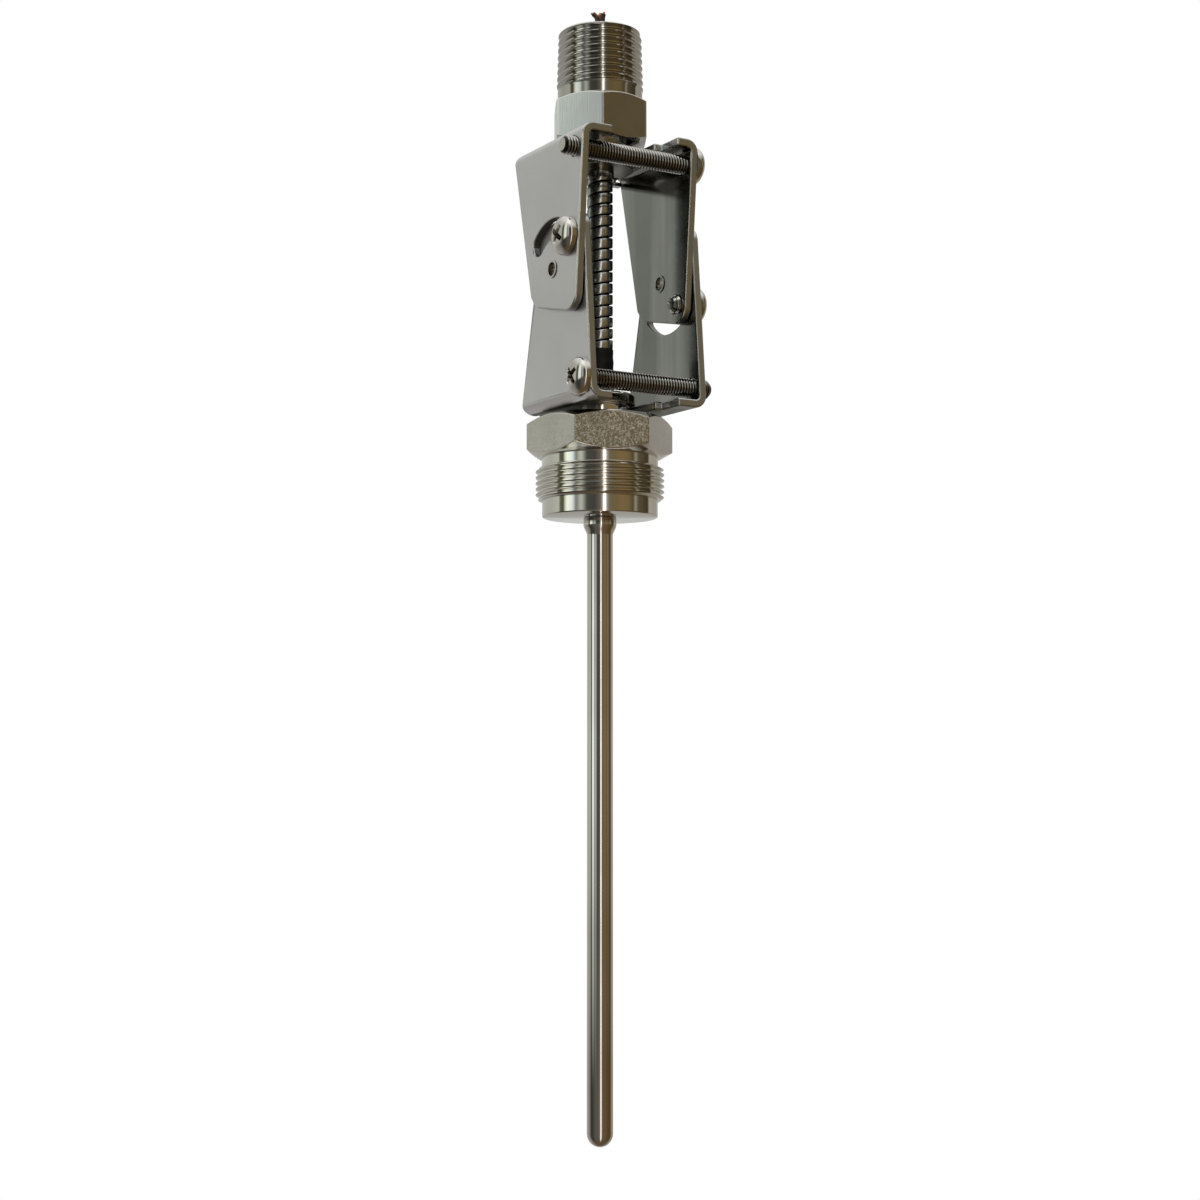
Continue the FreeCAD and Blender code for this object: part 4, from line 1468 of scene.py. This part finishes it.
# Light of the room by bearing in degrees, above and below the level of the view
ROOM = (
    (-180, (0.64, 0.65, 0.62)), (-113, (0.57, 0.58, 0.53)),
    (-90, (0.66, 0.68, 0.60)), (-86, (0.14, 0.15, 0.11)), (-77, (0.11, 0.12, 0.07)),
    (-73, (0.90, 0.94, 0.76)), (-68, (1.42, 1.46, 1.30)), (-58, (1.18, 1.30, 1.28)),
    (-54, (0.90, 1.00, 1.00)), (-50, (0.34, 0.37, 0.36)), (-46, (0.32, 0.34, 0.31)),
    (-40, (0.68, 0.70, 0.64)), (-36, (0.68, 0.70, 0.64)), (-31, (0.34, 0.36, 0.32)),
    (-26, (0.09, 0.10, 0.085)), (-10, (0.08, 0.075, 0.07)), (1, (0.20, 0.17, 0.14)),
    (6, (0.60, 0.56, 0.50)), (7.5, (3.20, 3.12, 3.00)), (10.5, (3.20, 3.14, 3.00)),
    (12, (0.60, 0.55, 0.47)), (18, (0.23, 0.20, 0.14)), (27, (0.22, 0.17, 0.08)),
    (44, (0.28, 0.19, 0.085)), (58, (0.24, 0.18, 0.085)), (70, (0.12, 0.09, 0.04)),
    (75, (0.46, 0.42, 0.34)), (81, (0.15, 0.12, 0.07)), (110, (0.065, 0.05, 0.03)),
    (115, (0.53, 0.49, 0.40)), (146, (0.42, 0.40, 0.37)), (180, (0.64, 0.65, 0.62)),
)
LOW_ROOM = (
    (-180, (0.46, 0.45, 0.43)), (-135, (0.50, 0.48, 0.46)), (-102, (0.33, 0.31, 0.29)),
    (-90, (0.10, 0.10, 0.09)), (-78, (0.05, 0.05, 0.04)), (-57, (0.08, 0.08, 0.07)),
    (-38, (0.14, 0.14, 0.12)), (-21, (0.13, 0.12, 0.09)), (-4, (0.22, 0.20, 0.15)),
    (6, (0.60, 0.54, 0.46)), (7.5, (3.00, 2.86, 2.66)), (10.5, (3.00, 2.86, 2.66)),
    (12, (0.55, 0.48, 0.40)), (18, (0.24, 0.19, 0.14)), (30, (0.17, 0.12, 0.07)),
    (48, (0.18, 0.12, 0.045)), (67, (0.14, 0.09, 0.035)), (89, (0.11, 0.075, 0.03)),
    (105, (0.12, 0.09, 0.05)), (116, (0.36, 0.31, 0.24)), (180, (0.46, 0.45, 0.43)),
)

# Spans of height in which the light changes, and the light below and above
HORIZON = (-0.16, -0.02)
FLOOR_SPAN = (-0.95, -0.6)
CEILING_SPAN = (0.5, 0.8)
FLOOR_GLOW = (0.15, 0.10, 0.055, 1.0)
CEILING_GLOW = (1.1, 1.1, 1.08, 1.0)


def banded(tree, share, bands):
    """Colours of a room by bearing."""
    node = add_node(tree, "ValToRGB", {"Fac": share})
    while len(node.color_ramp.elements) < len(bands):
        node.color_ramp.elements.new(1.0)
    for element, (degrees, tint) in zip(node.color_ramp.elements, bands):
        element.position = (degrees + 180) / 360
        element.color = (*tint, 1.0)
    return node.outputs["Color"]


def studio_world(facing_turn):
    """World of soft studio light in bands, turned to a bearing, and white to the camera."""
    world = bpy.data.worlds.new("studio")
    world.use_nodes = True
    tree = world.node_tree
    tree.nodes.clear()
    outlook = add_node(tree, "TexCoord").outputs["Generated"]
    facing = add_node(
        tree, "VectorRotate", {"Vector": outlook, "Angle": math.pi / 2 + facing_turn}, rotation_type="Z_AXIS"
    )
    split = add_node(tree, "SeparateXYZ", {"Vector": facing.outputs["Vector"]}).outputs
    bearing = work_out(tree, "ARCTAN2", split["Y"], split["X"])
    share = spread(tree, bearing, -math.pi, math.pi)
    room = banded(tree, share, ROOM)
    low_room = banded(tree, share, LOW_ROOM)
    level = split["Z"]
    walls = mixed(tree, spread(tree, level, *HORIZON), low_room, room)
    walls = mixed(tree, spread(tree, level, *FLOOR_SPAN), FLOOR_GLOW, walls)
    walls = mixed(tree, spread(tree, level, *CEILING_SPAN), walls, CEILING_GLOW)
    to_camera = add_node(tree, "LightPath").outputs["Is Camera Ray"]
    seen = mixed(tree, to_camera, walls, (1.0, 1.0, 1.0, 1.0))
    background = add_node(tree, "Background", {"Color": seen})
    add_node(tree, "OutputWorld", {"Surface": background.outputs["Background"]})
    return world


class PROBE_OT_stage(bpy.types.Operator):
    """Set the pale floor, the studio light and the camera"""

    bl_idname = "probe.stage"
    bl_label = "Stage"

    def execute(self, context):
        scene = context.scene
        stage = scene.probe_stage
        scene.view_settings.view_transform = "Standard"
        bm = bmesh.new()
        bmesh.ops.create_circle(bm, cap_ends=True, segments=MID_STEPS, radius=stage.floor_radius)
        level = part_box("stem_sheath")[0].z - stage.floor_drop
        bmesh.ops.translate(bm, verts=bm.verts, vec=(0, 0, level))
        floor = add_object("floor", new_mesh("floor", bm))
        material, tree, shader, vector = new_material("pale_floor")
        mottle = add_node(tree, "TexNoise", {"Vector": vector, "Scale": 6.0, "Detail": 2.0})
        base = scene.probe_colours.floor
        pale = ramp_between(tree, mottle.outputs["Fac"], base, [part * 0.98 for part in base])
        tree.links.new(pale, shader["Base Color"])
        shader["Roughness"].default_value = 0.9
        shader["Specular IOR Level"].default_value = 0.0
        floor.data.materials.append(material)
        floor.visible_glossy = False

        way = Vector((math.sin(stage.camera_turn), math.cos(stage.camera_turn), 0))
        right = Vector((way.y, -way.x, 0))
        light = bpy.data.lights.new("top_light", "AREA")
        light.size = stage.top_size
        light.energy = stage.top_power
        lamp = add_object("top_light", light)
        aside, ahead, up = stage.top_place
        lamp.location = Vector((0, 0, up)) + way * ahead + right * aside
        lamp.rotation_euler = (-lamp.location).to_track_quat("-Z", "Y").to_euler()
        lamp.visible_camera = False
        scene.world = studio_world(stage.camera_turn)

        lens = bpy.data.cameras.new("view")
        lens.lens = stage.camera_lens
        lens.sensor_width = 36.0
        lens.sensor_fit = "HORIZONTAL"
        lens.clip_start = 0.01
        camera = add_object("view", lens)
        camera.location = stage.camera_place
        aim = way * math.cos(stage.camera_lift) + Vector((0, 0, math.sin(stage.camera_lift)))
        camera.rotation_euler = aim.to_track_quat("-Z", "Y").to_euler()
        scene.camera = camera
        return {"FINISHED"}


class PROBE_PT_panel(bpy.types.Panel):
    """Probe pieces and their sizes"""

    bl_label = "Temperature Probe"
    bl_idname = "PROBE_PT_panel"
    bl_space_type = "VIEW_3D"
    bl_region_type = "UI"
    bl_category = "Probe"

    def draw(self, context):
        for kind in OPERATORS:
            self.layout.operator(kind.bl_idname)
        for label in GROUPS:
            box = self.layout.box()
            settings = getattr(context.scene, label)
            box.label(text=settings.bl_rna.name)
            for name in settings.__annotations__:
                box.prop(settings, name)


GROUPS = {
    "probe_fitting": FittingSizes,
    "probe_nipple": NippleSizes,
    "probe_hinge": HingeSizes,
    "probe_conduit": ConduitSizes,
    "probe_colours": ProbeColours,
    "probe_stage": StageSettings,
}
OPERATORS = (
    PROBE_OT_fitting,
    PROBE_OT_stem,
    PROBE_OT_brackets,
    PROBE_OT_screws,
    PROBE_OT_rivets,
    PROBE_OT_nipple,
    PROBE_OT_conduit,
    PROBE_OT_leads,
    PROBE_OT_inner,
    PROBE_OT_stage,
)


def register():
    for label, group in GROUPS.items():
        bpy.utils.register_class(group)
        setattr(bpy.types.Scene, label, bpy.props.PointerProperty(type=group))
    for operator in OPERATORS:
        bpy.utils.register_class(operator)
    bpy.utils.register_class(PROBE_PT_panel)


def unregister():
    bpy.utils.unregister_class(PROBE_PT_panel)
    for operator in reversed(OPERATORS):
        bpy.utils.unregister_class(operator)
    for label, group in reversed(GROUPS.items()):
        delattr(bpy.types.Scene, label)
        bpy.utils.unregister_class(group)


def main():
    register()
    bpy.ops.probe.fitting()
    bpy.ops.probe.stem()
    bpy.ops.probe.brackets()
    bpy.ops.probe.screws()
    bpy.ops.probe.rivets()
    bpy.ops.probe.nipple()
    bpy.ops.probe.conduit()
    bpy.ops.probe.leads()
    bpy.ops.probe.inner()
    bpy.ops.probe.stage()


if __name__ == "__main__":
    main()
